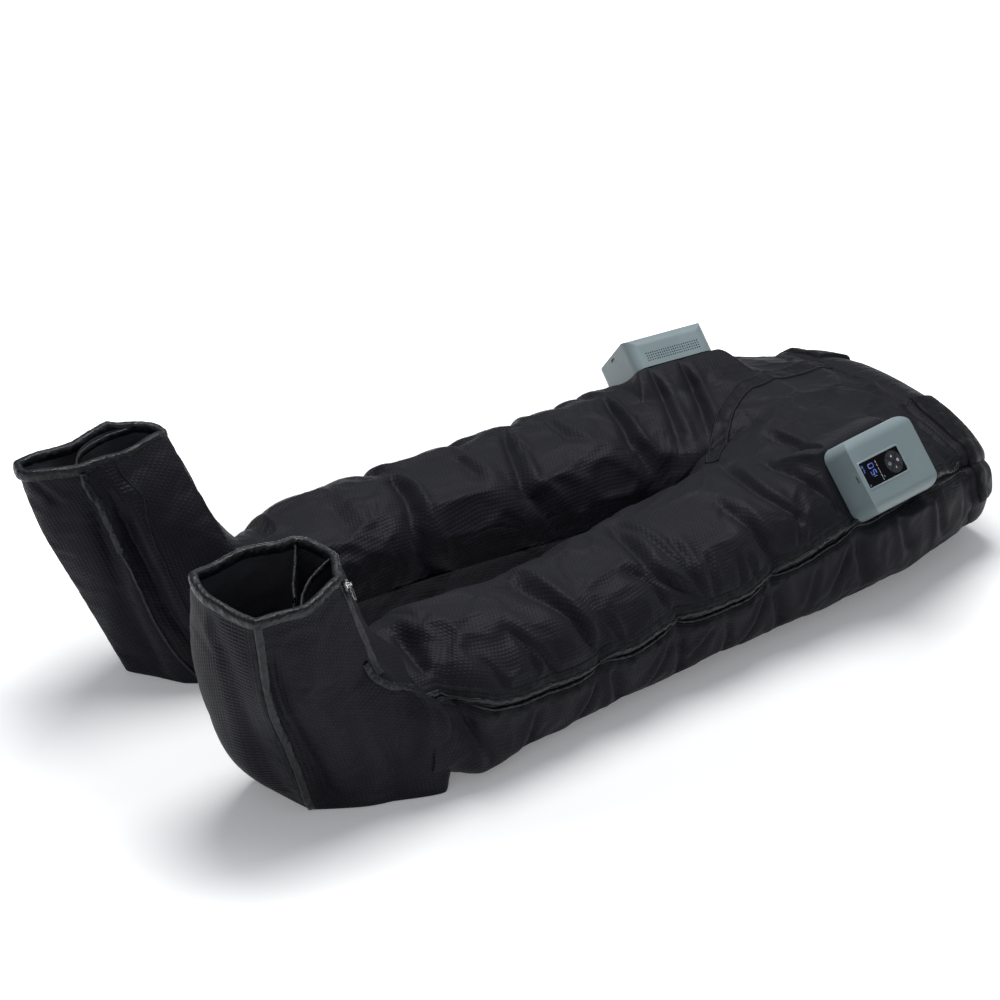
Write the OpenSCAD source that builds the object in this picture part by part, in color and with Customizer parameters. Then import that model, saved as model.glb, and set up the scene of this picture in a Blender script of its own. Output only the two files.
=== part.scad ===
/* [Garment] */
// Length of a leg from the crotch to the ankle crease
leg_l = 569; // [500:1:620]
// Length of the hip part from the crotch to the waist edge
hip_l = 330; // [300:1:360]
// Width of a thigh at the crotch
thigh_w = 220; // [200:1:230]
// Height of a filled thigh as it lies
thigh_t = 184; // [170:1:195]
// Gap between the two thighs at the crotch
crotch_gap = 26; // [20:1:40]
// How far the left leg's centre line swings out on its way to the ankle
left_spread = 34; // [20:1:45]
// How far the right leg's centre line swings out on its way to the ankle
right_spread = 48; // [30:1:60]
// Width of the hips
hip_w = 490; // [475:1:500]
// Height of the hips as they lie
hip_t = 190; // [180:1:196]
// Thickness of a filled air chamber
chamber_t = 28; // [22:1:32]
// How deep a seam is drawn in below the crown of the chambers beside it
seam_dip = 11; // [6:1:13]
// How far a chamber swells inward
chamber_puff = 6; // [3:1:8]
// Thickness of the padded waistband
waistband_t = 14; // [10:1:18]

/* [Boots] */
// Height of a boot, from the floor to its toe opening
boot_h = 304; // [280:1:330]
// Length of a boot's lower end, from the ankle crease to its front
boot_l = 270; // [260:1:290]
// Wall of a boot
boot_wall = 9; // [7:1:11]
// Thickness of a boot's sole pad, which lies on the floor here
boot_floor = 20; // [14:1:26]
// Thickness of the binding tape round a toe opening
binding_t = 2.5; // [1.5:0.1:4]

/* [Straps] */
// Width of the waist belt
belt_w = 46; // [36:1:52]
// Thickness of the waist belt
belt_t = 3; // [2:0.1:4]
// Width of the front placket
placket_w = 30; // [22:1:36]
// Thickness of the front placket
placket_t = 2.4; // [1.6:0.1:3]

/* [Zips] */
// Width of a zip's tape on the leg
zip_w = 24; // [18:1:28]
// Thickness of a zip's tape
zip_tape_t = 1.2; // [0.8:0.1:1.6]
// Width of the tape along a boot's corner
boot_tape_w = 10; // [8.5:0.5:10]
// Width of one row of teeth
tooth_row_w = 2.2; // [1.8:0.1:2.6]
// Height of the teeth above the tape
tooth_h = 1.5; // [1.2:0.1:2]
// Gap between the two rows of teeth, where the slider's post runs
tooth_gap = 1.4; // [1.2:0.1:1.8]
// Length of a zip slider
slider_l = 11; // [9:0.5:14]
// Thickness of a slider's plate and flanks
slider_t = 1.2; // [1:0.1:1.6]
// Length of a zip pull
pull_l = 22; // [16:1:30]
// Width of a zip pull
pull_w = 6; // [5:0.5:8]
// Diameter of the pin on a zip pull
pull_pin_d = 1.5; // [1.3:0.1:1.7]

/* [Control units] */
// Length of a control unit, along the leg
unit_l = 120; // [116:1:132]
// Width of a control unit
unit_w = 100; // [98:1:108]
// Height of a control unit
unit_h = 45; // [44:1:50]
// Corner radius of a control unit seen from above
unit_r = 16; // [14:1:18]
// Radius of the rolled long edges of a control unit
unit_roll_r = 15; // [12:1:16]
// Wall of the casing
unit_wall = 2.4; // [2:0.1:2.8]
// Height of the parting line above the casing's underside
parting_z = 28; // [27:0.5:29]
// Tilt of a control unit over the side of the hip, degrees
unit_tilt = 50; // [46:1:54]
// Turn of a control unit toward the waist, degrees
unit_yaw = 7; // [4:1:10]
// Length of the display window
lens_l = 72; // [68:1:76]
// Width of the display window
lens_w = 34; // [33:1:38]
// Thickness of the display window
lens_t = 1.5; // [1.2:0.1:1.8]
// Radius of the round group of four buttons
button_r = 14.5; // [13:0.1:14.8]
// Gap between two buttons
button_gap = 0.8; // [0.6:0.1:1.2]
// Travel of a button
button_travel = 0.8; // [0.6:0.1:1]
// Diameter of one vent hole's square, side to side
vent_d = 1.7; // [1.4:0.1:2]
// Distance between two vent holes
vent_pitch = 3.4; // [3:0.1:3.6]
// Length of a charging slot
port_l = 9.5; // [9:0.1:10.5]
// Height of a charging slot
port_h = 3.4; // [3.2:0.1:4]
// Thickness of the dock plate sewn to the hip
dock_t = 4; // [3:0.5:6]
// Diameter of the air stem under the dock plate
stem_d = 12; // [10:1:16]

/* [Works] */
// Length of the battery pack
battery_l = 76; // [70:1:78]
// Width of the battery pack
battery_w = 30; // [26:1:31]
// Height of the battery pack
battery_h = 21; // [18:1:24]
// Length of the pump
pump_l = 44; // [40:1:45]
// Length of the air distributor
valve_l = 38; // [34:1:40]
// Width of the pump and the distributor
works_w = 28; // [26:1:29]
// Height of the pump and the distributor
works_h = 26; // [24:1:28]
// Diameter of the pump's shaft
pump_shaft_d = 3; // [2.5:0.1:4]
// Diameter of the distributor's shaft
valve_shaft_d = 4; // [3:0.1:5]
// Diameter of a case screw's shank
screw_d = 3; // [2.5:0.1:3.2]
// Diameter of one air hose
hose_d = 5; // [4:0.1:5.4]

/* [Hidden] */
$fn = 48;

// Overrun of a cut past the face that it opens
over = 0.5;
// Clearance between two soft pieces
soft_gap = 0.3;
// Clearance of a strip over the crowned chambers
skin_gap = 0.5;
// Radial clearance of a running fit
run_gap = 0.06;
// Clearance of a loose fit, such as a button in its window
loose_gap = 0.3;
// Depth to which a filled chamber settles flat on the floor
settle = 3;

fabric = "#2a2c30";
tape_colour = "#3a4146";
casing_colour = "#7f8c8f";
nickel = "#c9cccd";

// Roundness of the leg and hip sections, 2 is an ellipse
leg_power_share = 2.6;
hip_power_share = 2.3;
// Points round a leg section, and round half a hip section
leg_n = 20;
hip_n = 13;
// Along one chamber: share of its length, share of the seam's dip, share of its inward swell
crown_share = [[0, 1, 0], [0.13, 0.36, 0.5], [0.5, 0, 1], [0.87, 0.36, 0.5], [1, 1, 0]];
// Seams along a leg, from the crotch to the ankle
seam_share = [0, 0.144, 0.438, 0.657, 0.79, 1];
// Seams along the hips, from the crotch to the waist edge
hip_seam_share = [0, 0.36, 0.755, 1];
// Leg sections: share of the leg's length, of its outward swing, of the thigh's width and height
leg_share = [
    [0, 0, 1, 1], [0.29, 0.32, 0.92, 0.945], [0.5, 0.6, 0.885, 0.92],
    [0.71, 0.85, 0.875, 0.905], [0.92, 1, 0.865, 0.88], [1, 1, 0.84, 0.85]
];
// Hip sections: share of the hips' length, width and height
hip_share = [
    [0, 0.965, 0.97], [0.25, 1, 1], [0.5, 0.98, 0.975],
    [0.75, 0.925, 0.9], [0.9, 0.85, 0.85], [1, 0.78, 0.8]
];

// Middle of the length from boot to waist, which is the origin's place on X, from the crotch;
// a boot's rounded front reaches this share of its length
front_share = 0.955;
mid_x = (hip_l - leg_l - front_share * boot_l) / 2;
crotch_x = -mid_x;
ankle_x = crotch_x - leg_l;
boot_x = ankle_x - boot_l;
leg_y = (thigh_w + crotch_gap) / 2;
// The right boot leans out farther, so the middle of the width lies to that side
lean_share = 0.0994;
mid_y = lean_share * hip_w / 2;

// Sections of a boot: share of its height, then its nine corners from the inner corner of the
// sole round by the outer side, as shares of boot_l from its front and of hip_w from the middle
left_boot_share = [
    [0, [[0.32, 0.155], [0.33, 0.26], [0.37, 0.35], [0.56, 0.415], [0.685, 0.44],
        [0.91, 0.485], [0.93, 0.33], [0.89, 0.145], [0.595, 0.125]]],
    [0.2, [[0.19, 0.15], [0.14, 0.26], [0.285, 0.375], [0.475, 0.44], [0.675, 0.465],
        [0.91, 0.5], [0.93, 0.33], [0.88, 0.13], [0.555, 0.1]]],
    [0.36, [[0.12, 0.15], [0.07, 0.26], [0.21, 0.39], [0.405, 0.46], [0.68, 0.47],
        [0.89, 0.5], [0.93, 0.33], [0.855, 0.135], [0.51, 0.09]]],
    [0.55, [[0.06, 0.145], [0.05, 0.26], [0.12, 0.42], [0.34, 0.46], [0.64, 0.43],
        [0.685, 0.417], [0.86, 0.315], [0.775, 0.155], [0.455, 0.09]]],
    [0.8, [[0.05, 0.15], [0.05, 0.265], [0.055, 0.43], [0.285, 0.455], [0.56, 0.41],
        [0.6, 0.393], [0.705, 0.29], [0.67, 0.17], [0.385, 0.105]]],
    [1, [[0.05, 0.16], [0.05, 0.28], [0.05, 0.43], [0.26, 0.44], [0.495, 0.393],
        [0.53, 0.375], [0.615, 0.28], [0.595, 0.18], [0.315, 0.13]]]
];
right_boot_share = [
    [0, [[0.52, 0.315], [0.445, 0.385], [0.37, 0.455], [0.595, 0.53], [0.78, 0.55],
        [0.91, 0.585], [0.93, 0.37], [0.905, 0.2], [0.705, 0.24]]],
    [0.2, [[0.44, 0.335], [0.325, 0.42], [0.29, 0.475], [0.53, 0.56], [0.735, 0.575],
        [0.91, 0.6], [0.93, 0.37], [0.89, 0.21], [0.63, 0.25]]],
    [0.36, [[0.385, 0.35], [0.245, 0.44], [0.21, 0.5], [0.47, 0.57], [0.71, 0.58],
        [0.88, 0.6], [0.93, 0.38], [0.845, 0.23], [0.585, 0.265]]],
    [0.55, [[0.325, 0.37], [0.165, 0.46], [0.125, 0.51], [0.41, 0.575], [0.625, 0.575],
        [0.67, 0.562], [0.865, 0.415], [0.77, 0.275], [0.52, 0.3]]],
    [0.8, [[0.245, 0.405], [0.065, 0.475], [0.05, 0.53], [0.34, 0.575], [0.54, 0.591],
        [0.588, 0.58], [0.725, 0.465], [0.7, 0.37], [0.435, 0.375]]],
    [1, [[0.18, 0.43], [0.05, 0.49], [0.05, 0.56], [0.29, 0.57], [0.475, 0.603],
        [0.525, 0.596], [0.66, 0.52], [0.655, 0.47], [0.385, 0.435]]]
];
// Heights of a boot's rings, with how much of the section is kept
boot_level_share = [[0, 0.95], [0.04, 1], [0.2, 1], [0.36, 1], [0.55, 1], [0.8, 1], [1, 1]];
// The same for the room inside, from the sole pad to just past the opening
room_level_share = [
    [boot_floor / boot_h, 1], [0.2, 1], [0.36, 1], [0.55, 1], [0.8, 1], [1 + over / boot_h, 1]
];
// How far the boot's neck and the throat inside it reach past the ankle, shares of the leg
neck_share = [[1, 1], [1.05, 0.5], [1.12, 1]];
throat_share = [1, 1.05, 1.1];
// Corner cut of a boot's section
corner_share = 0.25;

// The stretch of zip that runs up a boot's corner, in shares of the boot's height
zip_low_share = 0.56;
zip_high_share = 0.985;

// Middle of a unit's underside: share of the hips' length, width and height
left_dock_share = [0.345, 0.375, 0.875];
right_dock_share = [0.26, 0.385, 0.862];
// Height of the zip along a leg and along the hips: share of the length, share of the height
leg_zip_share = [[0, 0.65], [0.25, 0.53], [0.8, 0.5], [1, 0.66]];
hip_zip_share = [[0, 0.63], [0.36, 0.7], [0.755, 0.7]];

// Path of the placket over the right hip: share of the hips' length, share of their width
placket_share = [[0.02, 0.045], [0.12, 0.12], [0.23, 0.155], [0.36, 0.13], [0.56, 0.138], [0.75, 0.16]];

function mix(a, b, u) = a + (b - a) * u;
function sgn(v) = v < 0 ? -1 : 1;
// Row of a table at station s, read in a straight line between its rows
function row_at(t, s, i = 0) =
    i >= len(t) - 2 || s <= t[i + 1][0]
        ? mix(t[i], t[i + 1], (s - t[i][0]) / (t[i + 1][0] - t[i][0]))
        : row_at(t, s, i + 1);
// Point of a unit superellipse
function super_point(a, power) =
    [sgn(cos(a)) * pow(abs(cos(a)), 2 / power), sgn(sin(a)) * pow(abs(sin(a)), 2 / power)];
// Point of a section that lies on the floor: half width, height, centre, drawn in by d
function lying_point(a, power, half_w, high, mid, d) =
    let(p = super_point(a, power))
    [mid + (half_w - d) * p[0], max(0, (high - settle) / 2 + ((high + settle) / 2 - d) * p[1])];
function leg_point(a, s, spread, d) =
    lying_point(a, leg_power_share, leg_half(s), leg_high(s), leg_mid(s, spread), d);
function hip_point(a, s, d) = lying_point(a, hip_power_share, hip_half(s), hip_high(s), 0, d);
function leg_mid(s, spread) = leg_y + spread * row_at(leg_share, s)[1];
function leg_half(s) = thigh_w * row_at(leg_share, s)[2] / 2;
function leg_high(s) = thigh_t * row_at(leg_share, s)[3];
function hip_half(s) = hip_w * row_at(hip_share, s)[1] / 2;
function hip_high(s) = hip_t * row_at(hip_share, s)[2];

// Faces between two rings of n points that start at a and b; turned if flip is 1
function band(a, b, n, closed, flip) = [
    for (i = [0:(closed ? n - 1 : n - 2)]) let(j = (i + 1) % n)
        for (f = [[a + i, a + j, b + j], [a + i, b + j, b + i]])
            flip == 1 ? [f[0], f[2], f[1]] : f
];
// A hollow soft wall: outer and inner grids of points, m rings of n points each
module wall_between(outer, inner, closed) {
    m = len(outer);
    n = len(outer[0]);
    points = [for (r = outer) each r, for (r = inner) each r];
    faces = [
        for (k = [0:m - 2]) each band(k * n, (k + 1) * n, n, closed, 0),
        for (k = [0:m - 2]) each band((m + k) * n, (m + k + 1) * n, n, closed, 1),
        each band(0, m * n, n, closed, 1),
        each band((m - 1) * n, (2 * m - 1) * n, n, closed, 0),
        if (!closed) for (k = [0:m - 2]) let(a = k * n, b = (m + k) * n)
            each [[a, a + n, b + n], [a, b + n, b]],
        if (!closed) for (k = [0:m - 2]) let(a = k * n + n - 1, b = (m + k) * n + n - 1)
            each [[a, b + n, a + n], [a, b, b + n]]
    ];
    polyhedron(points, faces, convexity = 6);
}
// A solid through m rings of n points each
module loft(rings) {
    m = len(rings);
    n = len(rings[0]);
    points = [for (r = rings) each r];
    faces = [
        for (k = [0:m - 2]) each band(k * n, (k + 1) * n, n, true, 0),
        [for (i = [n - 1:-1:0]) i],
        [for (i = [0:n - 1]) (m - 1) * n + i]
    ];
    polyhedron(points, faces, convexity = 6);
}

// The left side is drawn as the mirror of the right side
module on_side(left) {
    translate([0, -mid_y, 0]) {
        if (left) {
            mirror([0, 1, 0]) children();
        } else {
            children();
        }
    }
}

// Chambers of a leg, each a tube with a crowned outside and a swollen inside
function leg_ring(s, spread, d) = [
    for (i = [0:leg_n - 1])
        let(p = leg_point(360 * i / leg_n, s, spread, d)) [crotch_x - s * leg_l, p[0], p[1]]
];
module leg_chamber(k, spread) {
    gap_s = soft_gap / leg_l / 2;
    s0 = seam_share[k] + gap_s;
    s1 = seam_share[k + 1] - gap_s;
    outer = [for (c = crown_share) leg_ring(mix(s0, s1, c[0]), spread, seam_dip * c[1])];
    inner = [for (c = crown_share) leg_ring(mix(s0, s1, c[0]), spread, chamber_t + chamber_puff * c[2])];
    color(fabric) wall_between(outer, inner, true);
}

// Chambers of the hips, each half a tube that meets its other half in the middle
function hip_ring(s, d) = [
    for (i = [0:hip_n - 1])
        let(p = hip_point(90 - 180 * i / (hip_n - 1), s, d))
            [crotch_x + s * hip_l, max(p[0], soft_gap / 2), p[1]]
];
module hip_chamber(k, dock) {
    gap_s = soft_gap / hip_l / 2;
    s0 = hip_seam_share[k] + gap_s;
    s1 = hip_seam_share[k + 1] - gap_s;
    outer = [for (c = crown_share) hip_ring(mix(s0, s1, c[0]), seam_dip * c[1])];
    inner = [for (c = crown_share) hip_ring(mix(s0, s1, c[0]), chamber_t + chamber_puff * c[2])];
    color(fabric) difference() {
        wall_between(outer, inner, false);
        at_dock(dock) dock_body(soft_gap);
    }
}

// Padded waistband, a closed ring that keeps the waist opening
waist_ring_n = 32;
function waist_ring(s, d) = [
    for (i = [0:waist_ring_n - 1])
        let(p = hip_point(360 * i / waist_ring_n, s, d)) [crotch_x + s * hip_l, p[0], p[1]]
];
module waistband() {
    s0 = hip_seam_share[2] + soft_gap / hip_l;
    dips = [[0, 0.5], [0.2, 0.1], [0.7, 0], [1, 0.25]];
    outer = [for (c = dips) waist_ring(mix(s0, 1, c[0]), seam_dip * c[1])];
    inner = [for (c = dips) waist_ring(mix(s0, 1, c[0]), waistband_t)];
    color(fabric) translate([0, -mid_y, 0]) wall_between(inner, outer, true);
}

// Waist belt: a strap end that wraps each side of the waistband
belt_a_share = [[0.82, -0.08], [0.5, -0.08]];
belt_n = 9;
module belt_strap(a0, a1) {
    s1 = 1 - soft_gap / hip_l;
    s0 = s1 - belt_w / hip_l;
    function strap_ring(s, lift) = [
        for (i = [0:belt_n - 1])
            let(p = hip_point(mix(a0, a1, i / (belt_n - 1)), s, -lift)) [crotch_x + s * hip_l, p[0], p[1]]
    ];
    steps = [0, 0.5, 1];
    outer = [for (u = steps) strap_ring(mix(s0, s1, u), skin_gap + belt_t)];
    inner = [for (u = steps) strap_ring(mix(s0, s1, u), skin_gap)];
    color(fabric) wall_between(outer, inner, false);
}
module waist_belt() {
    on_side(true) belt_strap(90 * belt_a_share[0][0], 90 * belt_a_share[0][1]);
    on_side(false) belt_strap(90 * belt_a_share[1][0], 90 * belt_a_share[1][1]);
}

// Front placket: a band that lies over the crowns of the right hip's chambers
function hip_top(s, y) =
    (hip_high(s) - settle) / 2
        + (hip_high(s) + settle) / 2
            * pow(1 - pow(abs(y) / hip_half(s), hip_power_share), 1 / hip_power_share);
module front_placket() {
    edges = [-1, 0, 1];
    function placket_ring(c, lift) = [
        for (e = edges)
            let(y = c[1] * hip_w + e * placket_w / 2)
                [crotch_x + c[0] * hip_l, y, hip_top(c[0], y) + lift]
    ];
    outer = [for (c = placket_share) placket_ring(c, skin_gap + placket_t)];
    inner = [for (c = placket_share) placket_ring(c, skin_gap)];
    color(fabric) on_side(false) wall_between(outer, inner, false);
}

// Boot: a soft shell that swells and leans from its footprint to its opening
function corner(c) = [boot_x + c[0] * boot_l, c[1] * hip_w];
function soften(p, cut) = [
    for (i = [0:len(p) - 1]) let(a = p[i], b = p[(i + 1) % len(p)])
        each [mix(a, b, cut), mix(b, a, cut)]
];
// Corners moved out by d, square to the sides that meet there
function spread_out(p, d) = [
    for (i = [0:len(p) - 1])
        let(u = p[i] - p[(i + len(p) - 1) % len(p)], v = p[(i + 1) % len(p)] - p[i])
        let(a = [-u[1], u[0]] / norm(u), b = [-v[1], v[0]] / norm(v))
            p[i] + d * (a + b) / (1 + a * b)
];
// Outline of a boot at height share t, moved out by d, as eighteen points
function boot_outline(sections, t, keep = 1, d = 0) =
    let(p = [for (c = row_at(sections, t)[1]) corner(c)])
    let(m = mix(p[0], p[5], 0.5))
        soften(spread_out([for (c = p) mix(m, c, keep)], d), corner_share);
function boot_ring(sections, c, d) =
    [for (q = boot_outline(sections, c[0], c[1], d)) [q[0], q[1], c[0] * boot_h]];
module boot(sections, spread) {
    shoe = [for (c = boot_level_share) boot_ring(sections, c, 0)];
    room = [for (c = room_level_share) boot_ring(sections, c, -boot_wall)];
    neck = [for (c = neck_share) neck_ring(c[0], spread, c[1] * seam_dip)];
    throat = [for (c = throat_share) neck_ring(c, spread, chamber_t)];
    color(fabric) difference() {
        union() {
            loft(shoe);
            loft(neck);
        }
        loft(room);
        translate([over, 0, 0]) loft(throat);
    }
}
// Section of the boot's neck, which carries the ankle's section on into the boot
function neck_ring(s, spread, d) = [
    for (i = [0:leg_n - 1])
        let(p = leg_point(360 * i / leg_n, 1, spread, d))
            [ankle_x - (s - 1) * leg_l - soft_gap / 2, p[0], p[1]]
];

// Binding tape round the toe opening
module toe_binding(sections) {
    outer = boot_ring(sections, [1, 1], binding_t / 2);
    inner = boot_ring(sections, [1, 1], -boot_wall - binding_t / 2);
    up = [0, 0, binding_t];
    color(tape_colour)
        wall_between([outer, [for (q = outer) q + up]], [inner, [for (q = inner) q + up]], true);
}

// Zip: a tape with two raised rows of teeth along the leg's outer side and the hip, and a
// straight stretch up the boot's outer corner
zip_steps = [for (i = [0:14]) i / 14];
// Profile across the zip: place from its middle and height above the chambers
zip_profile =
    let(side = zip_w / 2, near = tooth_gap / 2, far = near + tooth_row_w)
    let(low = skin_gap, tape = low + zip_tape_t, top = tape + tooth_h)
        [
            [side, low], [side, tape], [far, tape], [far, top], [near, top], [near, tape],
            [-near, tape], [-near, top], [-far, top], [-far, tape], [-side, tape], [-side, low], [0, low]
        ];
// How far out the side of a section lies at height z, lifted off it by d
function side_out(z, power, half_w, high, mid, d) =
    let(tall = (high + settle) / 2)
        mid + (half_w + d) * pow(1 - pow(abs(z - tall + settle) / (tall + d), power), 1 / power);
function leg_zip_ring(s, spread) = [
    for (c = zip_profile) let(z = row_at(leg_zip_share, s)[1] * thigh_t + c[0])
        [crotch_x - s * leg_l, side_out(z, leg_power_share, leg_half(s), leg_high(s), leg_mid(s, spread), c[1]), z]
];
function hip_zip_ring(s) = [
    for (c = zip_profile) let(z = row_at(hip_zip_share, s)[1] * hip_t + c[0])
        [crotch_x + s * hip_l, side_out(z, hip_power_share, hip_half(s), hip_high(s), 0, c[1]), z]
];
module zip(sections, spread, dock) {
    color(tape_colour) {
        loft([for (u = zip_steps) leg_zip_ring(mix(1, soft_gap / leg_l, u), spread)]);
        difference() {
            loft([for (u = zip_steps) hip_zip_ring(u * hip_seam_share[2])]);
            at_dock(dock) dock_body(soft_gap);
        }
    }
    at_zip(sections) boot_chain(zip_run(sections));
}
// Middle of the flat that carries the zip up a boot's outer instep corner, at height share t
function zip_point(sections, t) =
    let(p = boot_outline(sections, t))
    let(m = (p[zip_i] + p[zip_i + 1]) / 2)
        [m[0], m[1], t * boot_h];
zip_i = 8;
function zip_run(sections) = norm(zip_point(sections, zip_high_share) - zip_point(sections, zip_low_share));
// Frame of that corner: X runs up along the chain, Z points out of the boot
module at_zip(sections) {
    a = zip_point(sections, zip_low_share);
    b = zip_point(sections, zip_high_share);
    ex = (b - a) / norm(b - a);
    p = boot_outline(sections, (zip_low_share + zip_high_share) / 2);
    side = p[zip_i + 1] - p[zip_i];
    across = [side[0], side[1], 0] / norm(side);
    raw = cross(ex, across);
    ez = raw / norm(raw);
    ey = cross(ez, ex);
    translate(a) rotate([atan2(ey[2], ez[2]), -asin(ex[2]), atan2(ex[1], ex[0])]) children();
}
// Clearance of the straight chain over the boot's rounded corner
chain_gap = 0.9;
module boot_chain(run) {
    color(tape_colour) {
        translate([0, -boot_tape_w / 2, chain_gap]) cube([run, boot_tape_w, zip_tape_t]);
        for (side = [0, 1]) mirror([0, side, 0])
            translate([0, tooth_gap / 2, chain_gap + zip_tape_t]) cube([run, tooth_row_w, tooth_h]);
    }
}
// Slider at the top of its travel: a plate over the teeth, two flanks, a post and two ears
slider_w = tooth_gap + 2 * tooth_row_w + 2 * (loose_gap + slider_t);
slider_floor = chain_gap + zip_tape_t + loose_gap;
slider_top = chain_gap + zip_tape_t + tooth_h + loose_gap + slider_t;
ear_h = pull_pin_d + 2 * slider_t;
ear_t = slider_t;
ear_in = pull_w / 4 + loose_gap;
module at_slider(sections) {
    at_zip(sections) translate([zip_run(sections) - slider_l, 0, 0]) children();
}
module zip_slider() {
    color(nickel) difference() {
        union() {
            translate([0, -slider_w / 2, slider_top - slider_t]) cube([slider_l, slider_w, slider_t]);
            for (side = [0, 1]) mirror([0, side, 0]) {
                translate([0, slider_w / 2 - slider_t, slider_floor])
                    cube([slider_l, slider_t, slider_top - slider_floor]);
                translate([slider_l / 2 - ear_h / 2, ear_in, slider_top]) cube([ear_h, ear_t, ear_h]);
            }
            translate([slider_l / 2, 0, slider_floor])
                cylinder(d = tooth_gap - 2 * loose_gap, h = slider_top - slider_floor);
        }
        translate([slider_l / 2, 0, slider_top + ear_h / 2]) rotate([90, 0, 0])
            cylinder(d = pull_pin_d + 2 * run_gap, h = slider_w + 2 * over, center = true);
    }
}
// Pull: a tab that lies down the boot from a pin between the slider's ears
pull_t = slider_t;
pull_neck = ear_h;
module zip_pull() {
    color(nickel) translate([slider_l / 2, 0, slider_top + ear_h / 2]) {
        rotate([90, 0, 0]) cylinder(d = pull_pin_d, h = 2 * (ear_in + ear_t), center = true);
        difference() {
            union() {
                translate([-pull_neck, -pull_w / 4, -pull_t / 2]) cube([pull_neck, pull_w / 2, pull_t]);
                translate([pull_w / 2 - pull_l, -pull_w / 2, -pull_t / 2])
                    cube([pull_l - pull_w / 2 - pull_neck, pull_w, pull_t]);
                translate([pull_w / 2 - pull_l, 0, -pull_t / 2]) cylinder(d = pull_w, h = pull_t);
            }
            translate([pull_w / 2 - pull_l, 0, -pull_t / 2 - over])
                cylinder(d = pull_w / 2, h = pull_t + 2 * over);
        }
    }
}

// Air hoses: one per chamber of the leg, side by side along the tunnel's outer wall
hose_n = 6;
hose_pitch = hose_d + loose_gap;
hose_round = 8;
module air_hoses(spread, dock) {
    start = stem_tip(dock);
    wall = chamber_t + chamber_puff + hose_d / 2 + 3 * skin_gap;
    function wall_y(s) = leg_mid(s, spread) + leg_half(s) - wall;
    function hose_ring(x, y, z) = [
        for (i = [0:hose_round - 1]) let(a = 360 * i / hose_round)
            [x, y + hose_d / 2 * cos(a), z + hose_d / 2 * sin(a)]
    ];
    for (h = [0:hose_n - 1]) {
        z = thigh_t / 2 + (h - (hose_n - 1) / 2) * hose_pitch;
        last = min(hose_n - h, len(seam_share) - 1);
        stations = [for (k = [0:last - 1]) (seam_share[k] + seam_share[k + 1]) / 2];
        route = [
            [start[0] - stem_d, start[1] - (hose_n - 1 - h) * soft_gap, z],
            [crotch_x, wall_y(0) - chamber_puff, z],
            for (s = stations) [crotch_x - s * leg_l, wall_y(s), z]
        ];
        color("#c8d2d4") loft([for (r = route) hose_ring(r[0], r[1], r[2])]);
    }
}

// Dock: a plate sewn to the hip that carries a control unit, on a wedge of padding, with a
// port block that reaches into the unit and an air stem that reaches into the garment
dock_l = unit_l - 2 * unit_wall;
dock_w = unit_w - 2 * unit_wall;
wedge_share = 0.26;
wedge_h = wedge_share * unit_w;
port_block_l = 30;
port_block_w = 12;
port_block_rise = 2;
port_block = [port_block_l, port_block_w, unit_wall + port_block_rise];
stem_l = chamber_t + chamber_puff + hose_d;
function dock_place(dock) = [crotch_x + dock[0] * hip_l, dock[1] * hip_w, dock[2] * hip_t];
unit_up = [sin(unit_tilt) * sin(unit_yaw), sin(unit_tilt) * cos(unit_yaw), cos(unit_tilt)];
function stem_tip(dock) = dock_place(dock) - (dock_t + stem_l) * unit_up;
module at_dock(dock) {
    translate(dock_place(dock)) rotate([-unit_tilt, 0, -unit_yaw]) children();
}
module dock_body(gap) {
    l = dock_l + 2 * gap;
    w = dock_w + 2 * gap;
    translate([0, 0, -gap]) linear_extrude(unit_h) rounded(unit_l + 2 * gap, unit_w + 2 * gap, unit_r);
    translate([0, 0, -dock_t - gap]) linear_extrude(dock_t + gap) rounded(l, w, unit_r);
    hull() {
        translate([0, 0, -dock_t - gap]) linear_extrude(dock_t) rounded(l, w, unit_r);
        translate([-dock_l / 2 + unit_r, -dock_w / 2 - gap, -wedge_h - gap])
            cube([dock_l - 2 * unit_r, unit_r, wedge_h]);
    }
    translate([0, 0, -dock_t - stem_l - over]) cylinder(d = stem_d + 2 * gap, h = stem_l + over);
}
module dock_plate() {
    color(tape_colour) {
        difference() {
            union() {
                translate([0, 0, -dock_t]) linear_extrude(dock_t) rounded(dock_l, dock_w, unit_r);
                hull() {
                    translate([0, 0, -dock_t]) linear_extrude(dock_t / 2) rounded(dock_l, dock_w, unit_r);
                    translate([-dock_l / 2 + unit_r, -dock_w / 2, -wedge_h])
                        cube([dock_l - 2 * unit_r, unit_r, wedge_h / 2]);
                }
                translate([0, 0, -dock_t - stem_l]) cylinder(d = stem_d, h = stem_l + over);
                translate([-port_block[0] / 2, -port_block[1] / 2, -over]) cube(port_block + [0, 0, over]);
            }
            translate([0, 0, -dock_t - stem_l - over])
                cylinder(d = stem_d / 2, h = stem_l + dock_t + port_block[2] + 2 * over);
        }
    }
}

// Outline with round corners, centred
module rounded(l, w, r) {
    square([l - 2 * r, w], center = true);
    square([l, w - 2 * r], center = true);
    for (x = [-1, 1], y = [-1, 1]) translate([x * (l / 2 - r), y * (w / 2 - r)]) circle(r);
}
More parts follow.
